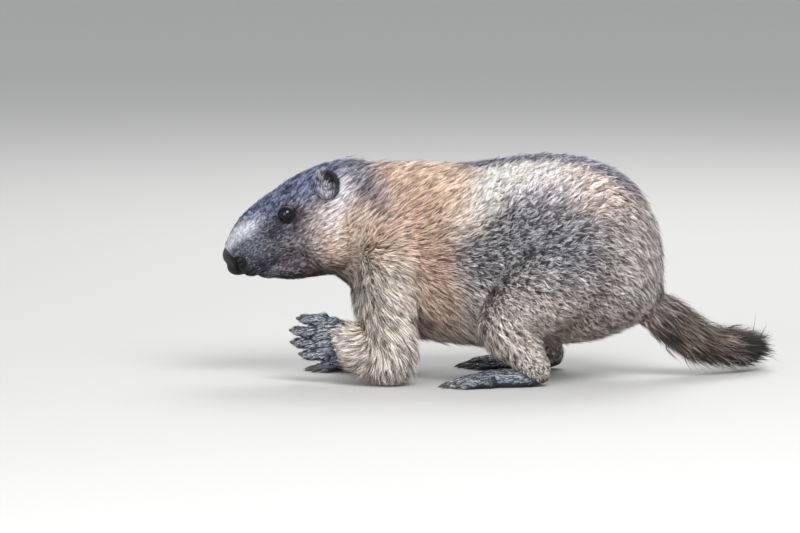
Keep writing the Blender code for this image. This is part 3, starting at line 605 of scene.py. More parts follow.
skin_data = bpy.data.meshes.new("skin")
flesh = [mesh_from("flesh", points, faces), mesh_from("flesh", paw_points, paw_faces)]
flesh += [mesh_of(ears, "flesh"), mesh_of(lids, "flesh")]
whole = bmesh.new()
part_ends = []
for data in flesh:
    whole.from_mesh(data)
    bpy.data.meshes.remove(data)
    part_ends.append(len(whole.faces))
whole.to_mesh(skin_data)
whole.free()
skin_data.shade_smooth()
skin = in_scene("skin", skin_data)
skin_data.transform(Matrix.Translation((FRONT, 0, 0)))
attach(skin, "root")
FLESH = ("head", "neck", "torso", "tail", "ear_left", "ear_right")
FLESH += ("foreleg_left", "foreleg_right", "forepaw_left", "forepaw_right")
FLESH += ("hindleg_left", "hindleg_right", "hindfoot_left", "hindfoot_right")
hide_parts(*FLESH)

# The skin is unwrapped on its own shape, so that each tuft can take its place on that map.
skin.select_set(True)
bpy.context.view_layer.objects.active = skin
bpy.ops.object.mode_set(mode="EDIT")
bpy.ops.mesh.select_all(action="SELECT")
bpy.ops.uv.smart_project(angle_limit=math.radians(70), island_margin=0.001)
bpy.ops.object.mode_set(mode="OBJECT")

# The coat of an alpine marmot in summer: dense woolly underfur with straight guard hairs, dark at
# the root and pale, buff, rust or black at the tip. It is short and flat on the face and paws, 9
# to 15 mm on the body and bushy on the tail. Each tuft is a thin tapered blade of solid mesh.
# Colours at the root, in the middle and at the tip of the hair, the tip of the dark hairs among
# them, and the share of those
TONES = {
    "crown": ("#0d1120", "#4a5780", "#d2e0ff", "#151c34", 0.42),
    "face": ("#0f0e15", "#4c4d64", "#d9dbf2", "#131219", 0.44),
    "temple": ("#1f1e29", "#6a6a81", "#cfd0e6", "#272733", 0.42),
    "eye_ring": ("#0a080a", "#1f1b22", "#5a5462", "#0b090b", 0.50),
    "muzzle_band": ("#84858f", "#eeeff7", "#ffffff", "#85868f", 0.10),
    "muzzle": ("#1d1f26", "#6a6f7e", "#d6dcea", "#20222a", 0.34),
    # Near black: the lips' own colour along the mouth, and painted shade below the muzzle
    "lips_and_shade": ("#080708", "#121013", "#38343a", "#08070a", 0.40),
    "cheek": ("#191518", "#a0939a", "#fffaff", "#171417", 0.36),
    "ear": ("#22212a", "#6b6977", "#d0ccd2", "#2a2934", 0.36),
    # Near black on the back of each ear cup: painted shadow of the ear's rim
    "ear_painted_shadow": ("#060507", "#0f0d11", "#2a272e", "#060507", 0.50),
    "ear_rim": ("#56534f", "#99948f", "#ebe6df", "#6b6763", 0.18),
    "behind_ear": ("#5d5c67", "#d7d6e1", "#ffffff", "#73737f", 0.16),
    "nape": ("#14161f", "#4a4e62", "#b4bace", "#1a1d2a", 0.50),
    "ruff": ("#4d3c32", "#d3b6a0", "#fffffd", "#58473d", 0.22),
    # Dark fur under the jaw: the throat's own darker colour, with painted shade under the head
    "throat_and_shade": ("#080606", "#342926", "#9e8e82", "#0a0808", 0.46),
    "tan": ("#3f2c20", "#b58d72", "#ffe9d4", "#4b3527", 0.32),
    "tan_pale": ("#59432f", "#d0ad92", "#fff0de", "#6b5340", 0.20),
    "brown": ("#2c1d15", "#b2886e", "#ffe3cb", "#33231a", 0.32),
    "cream_band": ("#6d6860", "#dad5cb", "#fffcf6", "#89837b", 0.12),
    "flank": ("#08070b", "#5d5a62", "#ffffff", "#0b0a0e", 0.43),
    "flank_pale": ("#35333a", "#b6b2b8", "#ffffff", "#3d3b43", 0.24),
    "rump": ("#584840", "#cfb4a6", "#f6e6dc", "#5c4d45", 0.28),
    "rump_side": ("#262220", "#ada299", "#ffffff", "#2c2827", 0.32),
    "dorsal": ("#16161f", "#50526a", "#c8cade", "#1a1a26", 0.48),
    "thigh": ("#332c26", "#c0b1a6", "#fffaf2", "#3a332d", 0.26),
    "arm": ("#332d26", "#c0b2a3", "#ffffff", "#3e3831", 0.30),
    "belly": ("#2a211b", "#968170", "#f2ddc8", "#332821", 0.28),
    "paw": ("#0b0b10", "#4a4f5d", "#dfe6f4", "#0e0f16", 0.36),
    "tail": ("#15110f", "#4a3f38", "#a89a8b", "#120e0c", 0.38),
    "tail_tip": ("#080707", "#15110f", "#2e2723", "#080707", 0.30),
}
# Each tone's patches as they lie on the animal's side, in millimetres from the nose and over the
# floor: the middle, the half lengths along and across, the tilt of the long way, the strength
PATCHES = {
    "crown": ((56, 155, 62, 12, 29, 1.9), (26, 136, 26, 8, 38, 1.7)),
    "face": ((50, 112, 34, 22, 20, 1.2),),
    "temple": ((74, 146, 10, 9, 0, 1.3),),
    "eye_ring": ((47, 127, 8, 5, 40, 3.4), (56, 128, 11, 5, 10, 1.6), (52, 121, 11, 5, 15, 1.3)),
    "muzzle_band": ((13, 118, 13, 4.2, 36, 8.0), (3, 110, 3.5, 7, 10, 2.0)),
    "muzzle": ((17, 104, 13, 11, 30, 1.5),),
    "cheek": ((60, 102, 15, 9, 10, 2.4),),
    "behind_ear": ((98, 150, 8, 16, -12, 2.4), (90, 128, 9, 9, 30, 1.0)),
    "nape": ((120, 158, 24, 9, -56, 4.2), (104, 174, 15, 6, 0, 3.6)),
    "ruff": ((92, 108, 18, 26, 40, 1.6), (108, 125, 20, 22, 0, 1.3), (103, 49, 12, 9, 0, 1.2)),
    # The dark throat patch is partly painted shade under the head
    "throat_and_shade": ((80, 80, 24, 13, 0, 2.8),),
    "tan": ((150, 146, 36, 28, 0, 1.5),),
    "tan_pale": (
        (126, 116, 22, 20, 0, 1.3), (165, 170, 40, 9, 0, 1.5), (192, 150, 12, 26, 30, 2.2),
        (168, 62, 16, 16, 0, 0.7),
    ),
    "brown": ((172, 112, 17, 28, 0, 1.7), (164, 84, 13, 20, 0, 0.6), (182, 56, 15, 26, 0, 1.2)),
    "arm": ((137, 72, 26, 22, 0, 1.9), (121, 92, 15, 13, 0, 1.6), (134, 36, 32, 18, 0, 1.8)),
    "cream_band": ((219, 152, 30, 10, 48, 2.6), (250, 168, 28, 8, 8, 3.0)),
    "flank": (
        (255, 108, 46, 34, 0, 2.1), (210, 96, 13, 26, 0, 1.6), (294, 104, 18, 22, 0, 1.1),
        (325, 52, 24, 18, 0, 0.5),
    ),
    "flank_pale": ((262, 154, 40, 9, 0, 1.2),),
    "rump_side": (
        (250, 80, 26, 11, 0, 0.9), (335, 105, 22, 42, 0, 1.5), (320, 55, 30, 24, 0, 1.3),
    ),
    "rump": ((312, 156, 34, 18, -20, 1.7),),
    "thigh": ((245, 42, 50, 22, 0, 1.9), (206, 50, 9, 30, 0, 1.4)),
}
# How much lower the camera sees a place for each metre that it lies nearer
SEEN_DROP = 0.096
COAT_SEED = 7
draw = np.random.RandomState(COAT_SEED)


def linear(code):
    """An sRGB colour such as #8a94a6 as linear light."""
    value = np.array([int(code[i : i + 2], 16) for i in (1, 3, 5)]) / 255
    return np.where(value <= 0.04045, value / 12.92, ((value + 0.055) / 1.055) ** 2.4)


def shades(at, facing, kind, along_tail):
    """The hair's colours at these places on the skin: root, middle, tip, dark tip and share."""
    tones = list(TONES)
    weights = np.full((len(at), len(tones)), 1e-4)

    def add(tone, weight):
        weights[:, tones.index(tone)] += weight

    seen = (at[:, 2] - SEEN_DROP * np.abs(at[:, 1])) * 1000
    patches = [(tone, *row) for tone, rows in PATCHES.items() for row in rows]
    for tone, x, z, reach, width, tilt, strength in patches:
        c, s = math.cos(math.radians(tilt)), math.sin(math.radians(tilt))
        dx, dz = at[:, 0] * 1000 - x, seen - z
        away = ((dx * c + dz * s) / reach) ** 2 + ((dz * c - dx * s) / width) ** 2
        add(tone, strength * np.exp(-away))
    stripe = np.interp(at[:, 0], (0.20, 0.28, 0.34), (0.016, 0.020, 0.030))
    back = ramp(np.abs(at[:, 1]), stripe + 0.008, stripe - 0.008) * ramp(at[:, 0], 0.185, 0.225)
    back *= ramp(at[:, 0], 0.352, 0.33) * ramp(facing[:, 2], 0.45, 0.80)
    add("dorsal", 7.0 * back)
    add("belly", 1.6 * ramp(facing[:, 2], -0.35, -0.9) * ramp(at[:, 0], 0.09, 0.12))
    on_ears = []
    for middle in ear_middles:
        off = at - middle
        mine = (kind == ON_EARS) & (np.linalg.norm(off, axis=1) < 0.03)
        behind = -off @ np.array(ALONG) / EAR_HALF
        on_ears.append((behind, off @ np.array(RISE) / EAR_TALL, mine))
    ear_front = sum(ramp(behind, 0.10, -0.60) * mine for behind, _, mine in on_ears)
    weights *= np.maximum(kind == ON_BODY, ear_front)[:, None]
    add("paw", 4.0 * (kind == ON_PAWS))
    # Near black along the mouth's line, the lips' own colour, and round the front of the mouth
    # under the nose, painted shade below the muzzle
    lips_and_shade = np.exp(-((from_line(at, mouth) / 0.0017) ** 2))
    lips_and_shade += ramp(np.linalg.norm(at - np.array(in_head(0.094, 0, -0.012)), axis=1), 0.017, 0.013)
    add("lips_and_shade", 3.0 * lips_and_shade * (kind == ON_BODY))
    add("ear", 4.0 * (kind == ON_EARS) * (1 - ear_front))
    # The back of each ear cup gets painted shadow under its rim; the top of the rim takes its
    # paler colour
    for behind, top, mine in on_ears:
        add("ear_painted_shadow", 40.0 * ramp(behind, 0.20, 0.55) * ramp(top, 1.05, 0.75) * mine)
        add("ear_rim", 8.0 * ramp(top, 0.72, 0.95) * mine)
    add("eye_ring", 4.0 * (kind == ON_LIDS))
    fade = ramp(along_tail, 0.002, 0.020)
    dark = ramp(along_tail, 0.055, 0.085)
    weights *= 1 - fade[:, None]
    add("tail", fade * (1 - dark) * 2)
    add("tail_tip", fade * dark * 2)
    weights /= weights.sum(1, keepdims=True)
    found = []
    for i in range(4):
        found.append(weights @ np.array([linear(TONES[tone][i]) for tone in tones]))
    return found + [weights @ np.array([TONES[tone][4] for tone in tones])]


def unit(ways):
    return ways / np.maximum(np.linalg.norm(ways, axis=-1, keepdims=True), 1e-9)


def dots(a, b):
    return (a * b).sum(-1, keepdims=True)


# Length of the hair on the ears and the tail, and how much of the tail's line is in the rump
EAR_HAIR = 0.0044
TAIL_HAIR = 0.027
TAIL_INSIDE = 0.028
TAIL_LINE = catmull(TAIL_ROWS, 8)[:, :3]
TAIL_WAYS = unit(np.diff(TAIL_LINE, axis=0))
TAIL_REACH = np.cumsum(np.linalg.norm(np.diff(TAIL_LINE, axis=0), axis=1))
ARM_LINE = catmull(ARM_ROWS[:5], 4)[:, :3]
RIGHT_ARM_LINE = catmull(RIGHT_ARM_ROWS[:5], 4)[:, :3]
WRISTS = np.array([ARM_ROWS[4][:3], RIGHT_ARM_ROWS[4][:3]])
HEELS = np.array([LEG_ROWS[4][:3], RIGHT_LEG_ROWS[4][:3]])


def nearest(at, spots):
    return np.linalg.norm(at[:, None] - spots[None], axis=2).min(1)


def growth(at, facing, kind):
    """How the coat grows at these places: length, lie, lift off the skin, and how far along
    the tail they are."""
    along, _, rise = from_head(at).T
    x, z = at[:, 0], at[:, 2]
    head = ramp(along, -0.030, -0.004) * ramp(x, 0.126, 0.074) * ramp(z, 0.066, 0.080)
    on_face = np.interp(
        along,
        (-0.03, -0.01, 0.01, 0.03, 0.05, 0.07, 0.09, 0.105),
        (0.0130, 0.0100, 0.0078, 0.0060, 0.0046, 0.0036, 0.0027, 0.0020),
    )
    low = np.interp(z, (0.02, 0.05, 0.09), (0.0135, 0.0150, 0.0))
    on_body = np.interp(
        x, (0.10, 0.16, 0.22, 0.30, 0.36), (0.0140, 0.0128, 0.0086, 0.0090, 0.0118)
    )
    on_body = np.maximum(on_body, low * ramp(x, 0.24, 0.20) + 0.75 * low * ramp(x, 0.20, 0.24))
    ruff = ramp(x, 0.085, 0.105) * ramp(x, 0.150, 0.125)
    wrist, heel = nearest(at, WRISTS), nearest(at, HEELS)
    on_body *= 0.24 + 0.76 * ramp(wrist, 0.006, 0.027)
    on_body *= 0.30 + 0.70 * ramp(heel, 0.004, 0.040)
    length = on_body + (on_face - on_body) * head
    toes = ramp(np.minimum(wrist, heel), 0.010, 0.030)
    length = np.where(kind == ON_PAWS, 0.0070 - 0.0028 * toes, length)
    length[kind >= ON_EARS] = EAR_HAIR
    hind = ramp(x, 0.185, 0.225)
    rump = ramp(x, 0.285, 0.345)
    lift = np.radians(34 + 20 * hind - 14 * rump)
    lift += (math.radians(24) - lift) * head
    lift[kind != ON_BODY] = math.radians(9)
    lift[kind == ON_EARS] = math.radians(30)

    up = np.interp(z, (0.03, 0.07, 0.11, 0.15), (-1.4, -0.60, 0.15, 0.75))
    up = up + 0.35 * ruff * ramp(z, 0.08, 0.12)
    up = up * (1 - rump) - 0.9 * rump
    chest = ramp(facing[:, 0], -0.20, -0.80) * ramp(x, 0.150, 0.115) * ramp(z, 0.115, 0.085)
    up = up - 1.2 * chest
    arm = np.minimum(from_line(at, ARM_LINE), from_line(at, RIGHT_ARM_LINE))
    arm = ramp(arm, 0.044, 0.020) * ramp(z, 0.126, 0.060)
    up = up * (1 - arm) - 1.25 * arm
    lie = np.stack([np.ones(len(at)), np.zeros(len(at)), up], 1)
    for rows in (ARM_ROWS, RIGHT_ARM_ROWS):
        joints = np.array(rows)[:, :3]
        lower = from_line(at, joints[2:])
        share = ramp(from_line(at, joints[:3]) - lower, -0.010, 0.013) * ramp(lower, 0.038, 0.024)
        heading = unit(joints[4] - joints[2]) - np.array([0, 0, 0.55])
        lie = lie * (1 - share[:, None]) + heading * share[:, None]
    back = np.outer(np.ones(len(at)), -np.array(ALONG))
    back += np.outer(np.clip(rise / 0.03, -1.2, 0.6) * 0.22, np.array(RISE))
    lie = unit(lie) * (1 - head[:, None]) + back * head[:, None]
    lie[kind == ON_PAWS] = (-1.0, 0.0, -0.15)
    lie[kind == ON_EARS] = np.array(RISE) * 0.75 - np.array(ALONG) * 0.65

    near = np.linalg.norm(at[:, None] - (TAIL_LINE[None, 1:] + TAIL_LINE[None, :-1]) / 2, axis=2)
    span = near.argmin(1)
    tail = ramp(near.min(1), 0.030, 0.018) * ramp(x, 0.343, 0.362) * (kind == ON_BODY)
    along_tail = np.where(tail > 0.5, TAIL_REACH[span] - TAIL_INSIDE, 0)
    length += (TAIL_HAIR - length) * tail
    lift += (math.radians(27) - lift) * tail
    lie = lie * (1 - tail[:, None]) + TAIL_WAYS[span] * tail[:, None]
    lie = unit(lie - facing * dots(lie, facing))
    return length, lie, lift, along_tail


# The skin as triangles, with each corner's place on the unwrap
skin_data.calc_loop_triangles()
triangles = skin_data.loop_triangles
corners = read(triangles, "vertices", 3, int)
places = read(skin_data.uv_layers[0].uv, "vector", 2)[read(triangles, "loops", 3, int)]
kinds = np.searchsorted(part_ends, read(triangles, "polygon_index", kind=int), side="right")
TO_FRAME = np.array([FRONT, 0, 0])
on_skin = read(skin_data.vertices, "co", 3) - TO_FRAME
facings = read(skin_data.vertex_normals, "vector", 3)
corner_spots = on_skin[corners]
middles = corner_spots.mean(1)
flats = unit(facings[corners].mean(1))
edges = corner_spots[:, 1:] - corner_spots[:, :1]
square_mm = np.linalg.norm(np.cross(edges[:, 0], edges[:, 1]), axis=1) / 2 * 1e6

# The forms of the nose in the head: place and radii
NOSE_FORMS = (
    ((0.0905, 0.0, -0.0005), (0.0138, 0.0116, 0.0102)),
    ((0.0918, 0.0, -0.0092), (0.0148, 0.0110, 0.0104)),
    ((0.0872, -0.0064, -0.0088), (0.0142, 0.0100, 0.0106)),
    ((0.0872, 0.0064, -0.0088), (0.0142, 0.0100, 0.0106)),
)
# Tufts to a square millimetre: most where the hair is short. None grow on the lids, in the
# mouth, on the nose, or on the palms and soles.
length, _, _, along_tail = growth(middles, flats, kinds)
thick = np.interp(length, (0.002, 0.005, 0.010, 0.016, 0.027), (5.5, 5.0, 3.4, 2.6, 2.4))
for centre, outward in eye_places.values():
    away = np.linalg.norm(middles - np.array(centre + outward * 0.006), axis=1)
    thick *= ramp(away, 0.0072, 0.0084)
thick *= ramp(from_line(middles, mouth), 0.0004, 0.0016)
for place, radii in NOSE_FORMS:
    off = (middles - np.array(in_head(*place))) @ np.array(head_turn)
    thick *= ramp(np.linalg.norm(off / np.array(radii), axis=1), 0.98, 1.06)
thick[kinds == ON_LIDS] = 0
is_grip = (kinds == ON_PAWS) & (middles[:, 1] < 0) & (middles[:, 0] < 0.115)
bare = np.where(is_grip, flats[:, 1], -flats[:, 2])
thick *= np.where(kinds == ON_PAWS, ramp(bare, 0.35, 0.0), 1)
# Nor on the part of a paw that runs inside the leg
fleshy = tree_of(points, faces)
for i in np.flatnonzero(kinds == ON_PAWS):
    spot, normal, _, gap = fleshy.find_nearest(Vector(middles[i]))
    if gap < 0.02 and (Vector(middles[i]) - spot).dot(normal) < 0.0006:
        thick[i] = 0
COAT_TUFTS = 485000
odds = square_mm * thick
total = min(COAT_TUFTS, int(odds.sum()))
picked = np.sort(draw.choice(len(odds), size=total, p=odds / odds.sum()))
mix = draw.dirichlet((1, 1, 1), total)
roots = (corner_spots[picked] * mix[:, :, None]).sum(1)
facing = unit((facings[corners[picked]] * mix[:, :, None]).sum(1))
spots_on_map = (places[picked] * mix[:, :, None]).sum(1)
kind = kinds[picked]
length, lie, lift, along_tail = growth(roots, facing, kind)

# Hairs stand together in small locks: each tuft leans towards the tip of the lock it is nearest
# The clumps keep the order of their roots, so the shuffle only moves the random draw on.
CLUMP_EVERY = 6
chosen = np.arange(0, total, CLUMP_EVERY)
draw.shuffle(chosen)
chosen = np.sort(chosen)
clumps = KDTree(len(chosen))
for i, j in enumerate(chosen):
    clumps.insert(Vector(roots[j]), i)
clumps.balance()
lock = np.array([clumps.find(Vector(root))[1] for root in roots])
# Where the coat of the neck parts from that of the arm
PARTINGS = np.array([(0.118, -0.046, 0.104), (0.118, 0.046, 0.104)])
restless = 0.16 + 0.30 * ramp(roots[chosen, 0], 0.19, 0.24) * ramp(roots[chosen, 0], 0.36, 0.31)
restless += 0.30 * np.exp(-((nearest(roots[chosen], PARTINGS) / 0.022) ** 2))
restless *= np.where(kind[chosen] == ON_PAWS, 0.25, 1.0)
tip_way = lie[chosen] + draw.normal(0, 1, (len(chosen), 3)) * restless[:, None]
tip_way = unit(tip_way - facing[chosen] * dots(tip_way, facing[chosen]))
lock_lift = lift[chosen] * (1 + 0.22 * draw.normal(0, 1, len(chosen)))
lock_length = length[chosen] * (1 + 0.14 * draw.normal(0, 1, len(chosen)))
lock_tone = draw.normal(0, 1, len(chosen))
lock_dark = draw.uniform(0, 1, len(chosen))


def spine(start, out, way, reach, angle, steps):
    """Points along a hair that leaves the skin at an angle and bends down to lie along it."""
    line = [start]
    for i in range(steps):
        bend = angle * (1.25 - 0.95 * i / (steps - 1))
        step = way * np.cos(bend)[:, None] + out * np.sin(bend)[:, None]
        line.append(line[-1] + step * reach[:, None] / steps)
    return np.stack(line, 1)


# Spans to a hair, the share of guard hairs, the length of the underfur as a share of theirs, how
# deep the roots sit, how far the hair stays off the floor, and its brightest colour
STEPS = 2
GUARD_SHARE = 0.42
UNDER_LENGTH = 0.76
ROOT_DEPTH = 0.0003
HAIR_OFF_FLOOR = 0.0006
BRIGHTEST = 0.88
is_guard = draw.uniform(0, 1, total) < GUARD_SHARE + 0.18 * ramp(length, 0.010, 0.006)
own_length = lock_length[lock] * (1 + 0.12 * draw.normal(0, 1, total))
own_length *= np.where(is_guard, 1.0, UNDER_LENGTH)
stray = np.where(kind == ON_PAWS, 0.07, 0.16)[:, None]
own_way = tip_way[lock] + draw.normal(0, 1, (total, 3)) * stray
own_way = unit(own_way - facing * dots(own_way, facing))
own_lift = lock_lift[lock] * (1 + 0.15 * draw.normal(0, 1, total))
own = spine(roots - facing * ROOT_DEPTH, facing, own_way, own_length, own_lift, STEPS)
lock_spines = spine(roots[chosen], facing[chosen], tip_way, lock_length, lock_lift, STEPS)
middle_of_lock = lock_spines[lock]
gather = np.interp(length, (0.003, 0.008, 0.015), (0.10, 0.30, 0.42))
gather *= draw.uniform(0.6, 1.2, total)
for i in range(1, STEPS + 1):
    share = (gather * (i / STEPS) ** 1.3)[:, None]
    own[:, i] += (middle_of_lock[:, i] - own[:, i]) * share
own[:, :, 2] = np.maximum(own[:, :, 2], HAIR_OFF_FLOOR)

# A long hair is coloured for where its tip shows, and all are scattered a little, so that one
# patch fades into the next
scatter = draw.normal(0, 0.0045, roots.shape) * np.clip(length / 0.012, 0.3, 1)[:, None]
out_share = 0.6 * ramp(length, 0.005, 0.009) * (kind == ON_BODY)
seen_part = (own[:, STEPS] - own[:, 0]) * out_share[:, None]
root_tone, middle_tone, tip_tone, dark_tone, dark_share = shades(
    roots + scatter + seen_part, facing, kind, along_tail
)
# On the paws pale and dark streaks run along the toes
over_toes = (roots[:, 1] + roots[:, 2]) * 2 * math.pi
streak = np.sin(over_toes / 0.0023 + 1.3 * np.sin(over_toes / 0.0071))
streak += 0.6 * np.sin(over_toes / 0.0039 + 1.0)
chance = 0.25 * draw.uniform(0, 1, total) + 0.75 * lock_dark[lock]
chance = np.where(kind == ON_PAWS, 0.5 + 0.3 * streak, chance)
is_dark = chance < dark_share
tip_tone = np.where(is_dark[:, None], dark_tone, tip_tone)
middle_tone = np.where(is_dark[:, None], dark_tone * 0.7 + middle_tone * 0.3, middle_tone)
under = ~is_guard[:, None]
tip_tone = np.where(under, middle_tone * 0.75 + root_tone * 0.25, tip_tone)
middle_tone = np.where(under, middle_tone * 0.35 + root_tone * 0.65, middle_tone)
uneven = 0.34 - 0.04 * ramp(length, 0.010, 0.006)
uneven += 0.12 * ramp(roots[:, 0], 0.19, 0.215) * ramp(roots[:, 0], 0.345, 0.315)
light = np.where(kind == ON_PAWS, 0.30 * streak, uneven * lock_tone[lock])
light = np.exp(light + 0.12 * draw.normal(0, 1, total))[:, None, None]
hair = np.minimum(np.stack([root_tone, middle_tone, tip_tone], 1) * light, BRIGHTEST)

width = np.interp(length, (0.002, 0.005, 0.015, 0.027), (0.00026, 0.00030, 0.00040, 0.00048))
width = width * draw.uniform(0.8, 1.2, total)


def add_node(tree, kind, settings=(), links=()):
    """A shader node with its settings, and links from (node, output) to its inputs."""
    node = tree.nodes.new(kind)
    for name, value in dict(settings).items():
        if name in node.inputs:
            node.inputs[name].default_value = value
        else:
            setattr(node, name, value)
    for name, (source, output) in dict(links).items():
        tree.links.new(source.outputs[output], node.inputs[name])
    return node


def fresh_material(name):
    material = bpy.data.materials.new(name)
    material.use_nodes = True
    tree = material.node_tree
    tree.nodes.clear()
    return material, tree


def shaded(tree, settings, links=()):
    """The surface of a material: one shader, joined to the output."""
    shader = add_node(tree, "ShaderNodeBsdfPrincipled", settings, links)
    add_node(tree, "ShaderNodeOutputMaterial", {}, {"Surface": (shader, "BSDF")})


def write_colours(data, name, colours):
    """One linear colour to each point of the mesh."""
    colours = np.concatenate([colours, np.ones((len(colours), 1))], 1)
    field = data.attributes.new(name, "FLOAT_COLOR", "POINT")
    field.data.foreach_set("color", colours.astype(np.float32).ravel())


# Keratin guard hair: a dull satin with only a faint sheen, coloured along its length
fur, tree = fresh_material("guard_hair")
tone = add_node(tree, "ShaderNodeAttribute", {"attribute_name": "hair"})
keratin = {"Roughness": 0.62, "IOR": 1.55, "Specular IOR Level": 0.35}
shaded(tree, keratin, {"Base Color": (tone, "Color")})
PATCH_ON_MAP = 0.003


def along_blade(values):
    """Values along each hair at both edges of its blade, and once at the tip."""
    return np.concatenate([np.repeat(values[:, :-1], 2, axis=1), values[:, -1:]], 1)


def blades(name, chosen):
    """The chosen tufts as one mesh of tapered blades, each with its patch of the map."""
    line, out = own[chosen], facing[chosen]
    n = len(line)
    heading = unit(np.diff(line, axis=1))
    heading = np.concatenate([heading, heading[:, -1:]], 1)
    lean = draw.normal(0, 0.45, (n, 1, 3))
    across = unit(np.cross(heading, out[:, None] + lean))
    half = width[chosen][:, None, None] / 2
    shares = np.linspace(1.0, 0.82, STEPS)[None, :, None]
    left = line[:, :-1] - across[:, :-1] * half * shares
    right = line[:, :-1] + across[:, :-1] * half * shares
    pairs = np.stack([left, right], 2).reshape(n, STEPS * 2, 3)
    spots = np.concatenate([pairs, line[:, -1:]], 1)
    each = STEPS * 2 + 1
    tris = []
    for i in range(STEPS - 1):
        a = 2 * i
        tris += [(a, a + 1, a + 3), (a, a + 3, a + 2)]
    tris.append((each - 3, each - 2, each - 1))
    tris = np.array(tris)
    all_tris = (tris[None] + np.arange(n)[:, None, None] * each).reshape(-1, 3)
    data = bpy.data.meshes.new(name)
    data.vertices.add(n * each)
    data.vertices.foreach_set("co", (spots + TO_FRAME).ravel())
    data.loops.add(all_tris.size)
    data.loops.foreach_set("vertex_index", all_tris.ravel())
    data.polygons.add(len(all_tris))
    data.polygons.foreach_set("loop_start", np.arange(0, all_tris.size, 3))
    data.update(calc_edges=True)
    data.shade_smooth()

    # The light falls on a blade as on the coat round it, so its normals lean to the skin's
    lit = unit(out[:, None] - heading * dots(out[:, None], heading) * 0.75)
    field = data.attributes.new("custom_normal", "FLOAT_VECTOR", "POINT")
    field.data.foreach_set("vector", along_blade(lit).astype(np.float32).ravel())
    write_colours(data, "hair", along_blade(hair[chosen]).reshape(-1, 3))
    beside = np.tile([-1.0, 1.0], STEPS).tolist() + [0.0]
    ahead = np.repeat(np.arange(STEPS) / STEPS, 2).tolist() + [1.0]
    patch = np.stack([beside, np.array(ahead) * 2 - 1], 1) * PATCH_ON_MAP / 2
    on_map = (spots_on_map[chosen][:, None] + patch[None]).reshape(-1, 2)[all_tris.ravel()]
    layer = data.uv_layers.new(name="OFBake")
    layer.uv.foreach_set("vector", on_map.astype(np.float32).ravel())
    data.materials.append(fur)
    return in_scene(name, data)


left_side = roots[:, 1] < 0
on_head = (from_head(roots)[:, 0] > -0.016) & (roots[:, 0] < 0.105)
on_head &= (kind != ON_PAWS) & (roots[:, 2] > 0.075)
# The first of these bands that a tuft lies in, or else the rump
bands = [kind == ON_PAWS, along_tail > 0, on_head]
bands += [roots[:, 0] < end for end in (0.150, 0.205, 0.262)]
bands = np.select(bands, range(6), 6)
BAND_NAMES = ("paws", "tail", "head", "shoulder", "side", "flank", "rump")
BAND_SLOTS = ("paws", "fur_tail", "fur_head") + ("fur_body",) * 4
MOST_TUFTS = 65000
for band, (label, slot) in enumerate(zip(BAND_NAMES, BAND_SLOTS)):
    for side, here in (("left", left_side), ("right", ~left_side)):
        members = np.flatnonzero((bands == band) & here)
        shares = math.ceil(len(members) / MOST_TUFTS)
        for i in range(shares):
            tail_name = f"_{i + 1}" if shares > 1 else ""
            piece = blades(f"coat_{label}_{side}{tail_name}", members[i::shares])
            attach(piece, "root")

# Under the coat the skin carries the same markings and painted shade as the coat, darkened as the
# roots of the hair are, with a paler fold along the top of each upper lid. It is dull and dry,
# and hardly shines.
kind_of_point = np.zeros(len(on_skin), int)
kind_of_point[corners.ravel()] = np.repeat(kinds, 3)
_, _, _, along_tail_there = growth(on_skin, facings, kind_of_point)
under = shades(on_skin, facings, kind_of_point, along_tail_there)
tone_there = under[0] * 0.75 + under[1] * 0.25
for centre, outward in eye_places.values():
    off = on_skin - np.array(centre)
    up_lid = ramp(off @ np.array(RISE), 0.0, 0.003)
    off -= np.outer(off @ np.array(outward), np.array(outward))
    ring = np.linalg.norm(off, axis=1)
    fold = ramp(ring, 0.0064, 0.0070) * ramp(ring, 0.0080, 0.0074) * up_lid * 0.6
    fold = (fold * (kind_of_point == ON_LIDS))[:, None]
    tone_there = tone_there * (1 - fold) + linear("#6d6058") * fold
write_colours(skin_data, "hair", tone_there)
hide, tree = fresh_material("furred_skin")
tone = add_node(tree, "ShaderNodeAttribute", {"attribute_name": "hair"})
dry = {"Roughness": 0.70, "IOR": 1.45, "Specular IOR Level": 0.3}
shaded(tree, dry, {"Base Color": (tone, "Color")})
skin_data.materials.append(hide)

# The eyes: balls of dark brown, nearly black jelly under a clear, wet cornea that stands a little
# proud of them. The coat over the dull base gives the small sharp lights of the lamps.
wet_eye, tree = fresh_material("wet_eye")
jelly = {"Base Color": (*linear("#040305"), 1), "Roughness": 0.40, "IOR": 1.336}
cornea = {"Coat Weight": 1.0, "Coat Roughness": 0.03, "Coat IOR": 1.376}
shaded(tree, {**jelly, "Specular IOR Level": 0.0, **cornea})


def piece_from(made, name, material):
    """A smooth piece of the scene from a bmesh in the animal's own frame."""
    data = mesh_of(made, name)
    data.shade_smooth()
    data.transform(Matrix.Translation((FRONT, 0, 0)))
    data.materials.append(material)
    return in_scene(name, data)


for side, (centre, outward) in eye_places.items():
    made = bmesh.new()
    ball(made, Vector((0, 0, 0)), (EYE_RADIUS,) * 3, segments=48, rings=32)
    for vert in made.verts:
        ahead = vert.co.normalized().dot(outward)
        vert.co += centre + outward * 0.0007 * max(ahead - 0.78, 0) / 0.22
    eyeball = piece_from(made, f"eyeball_{side}", wet_eye)
    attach(eyeball, "root")
    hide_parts(f"eye_{side}")

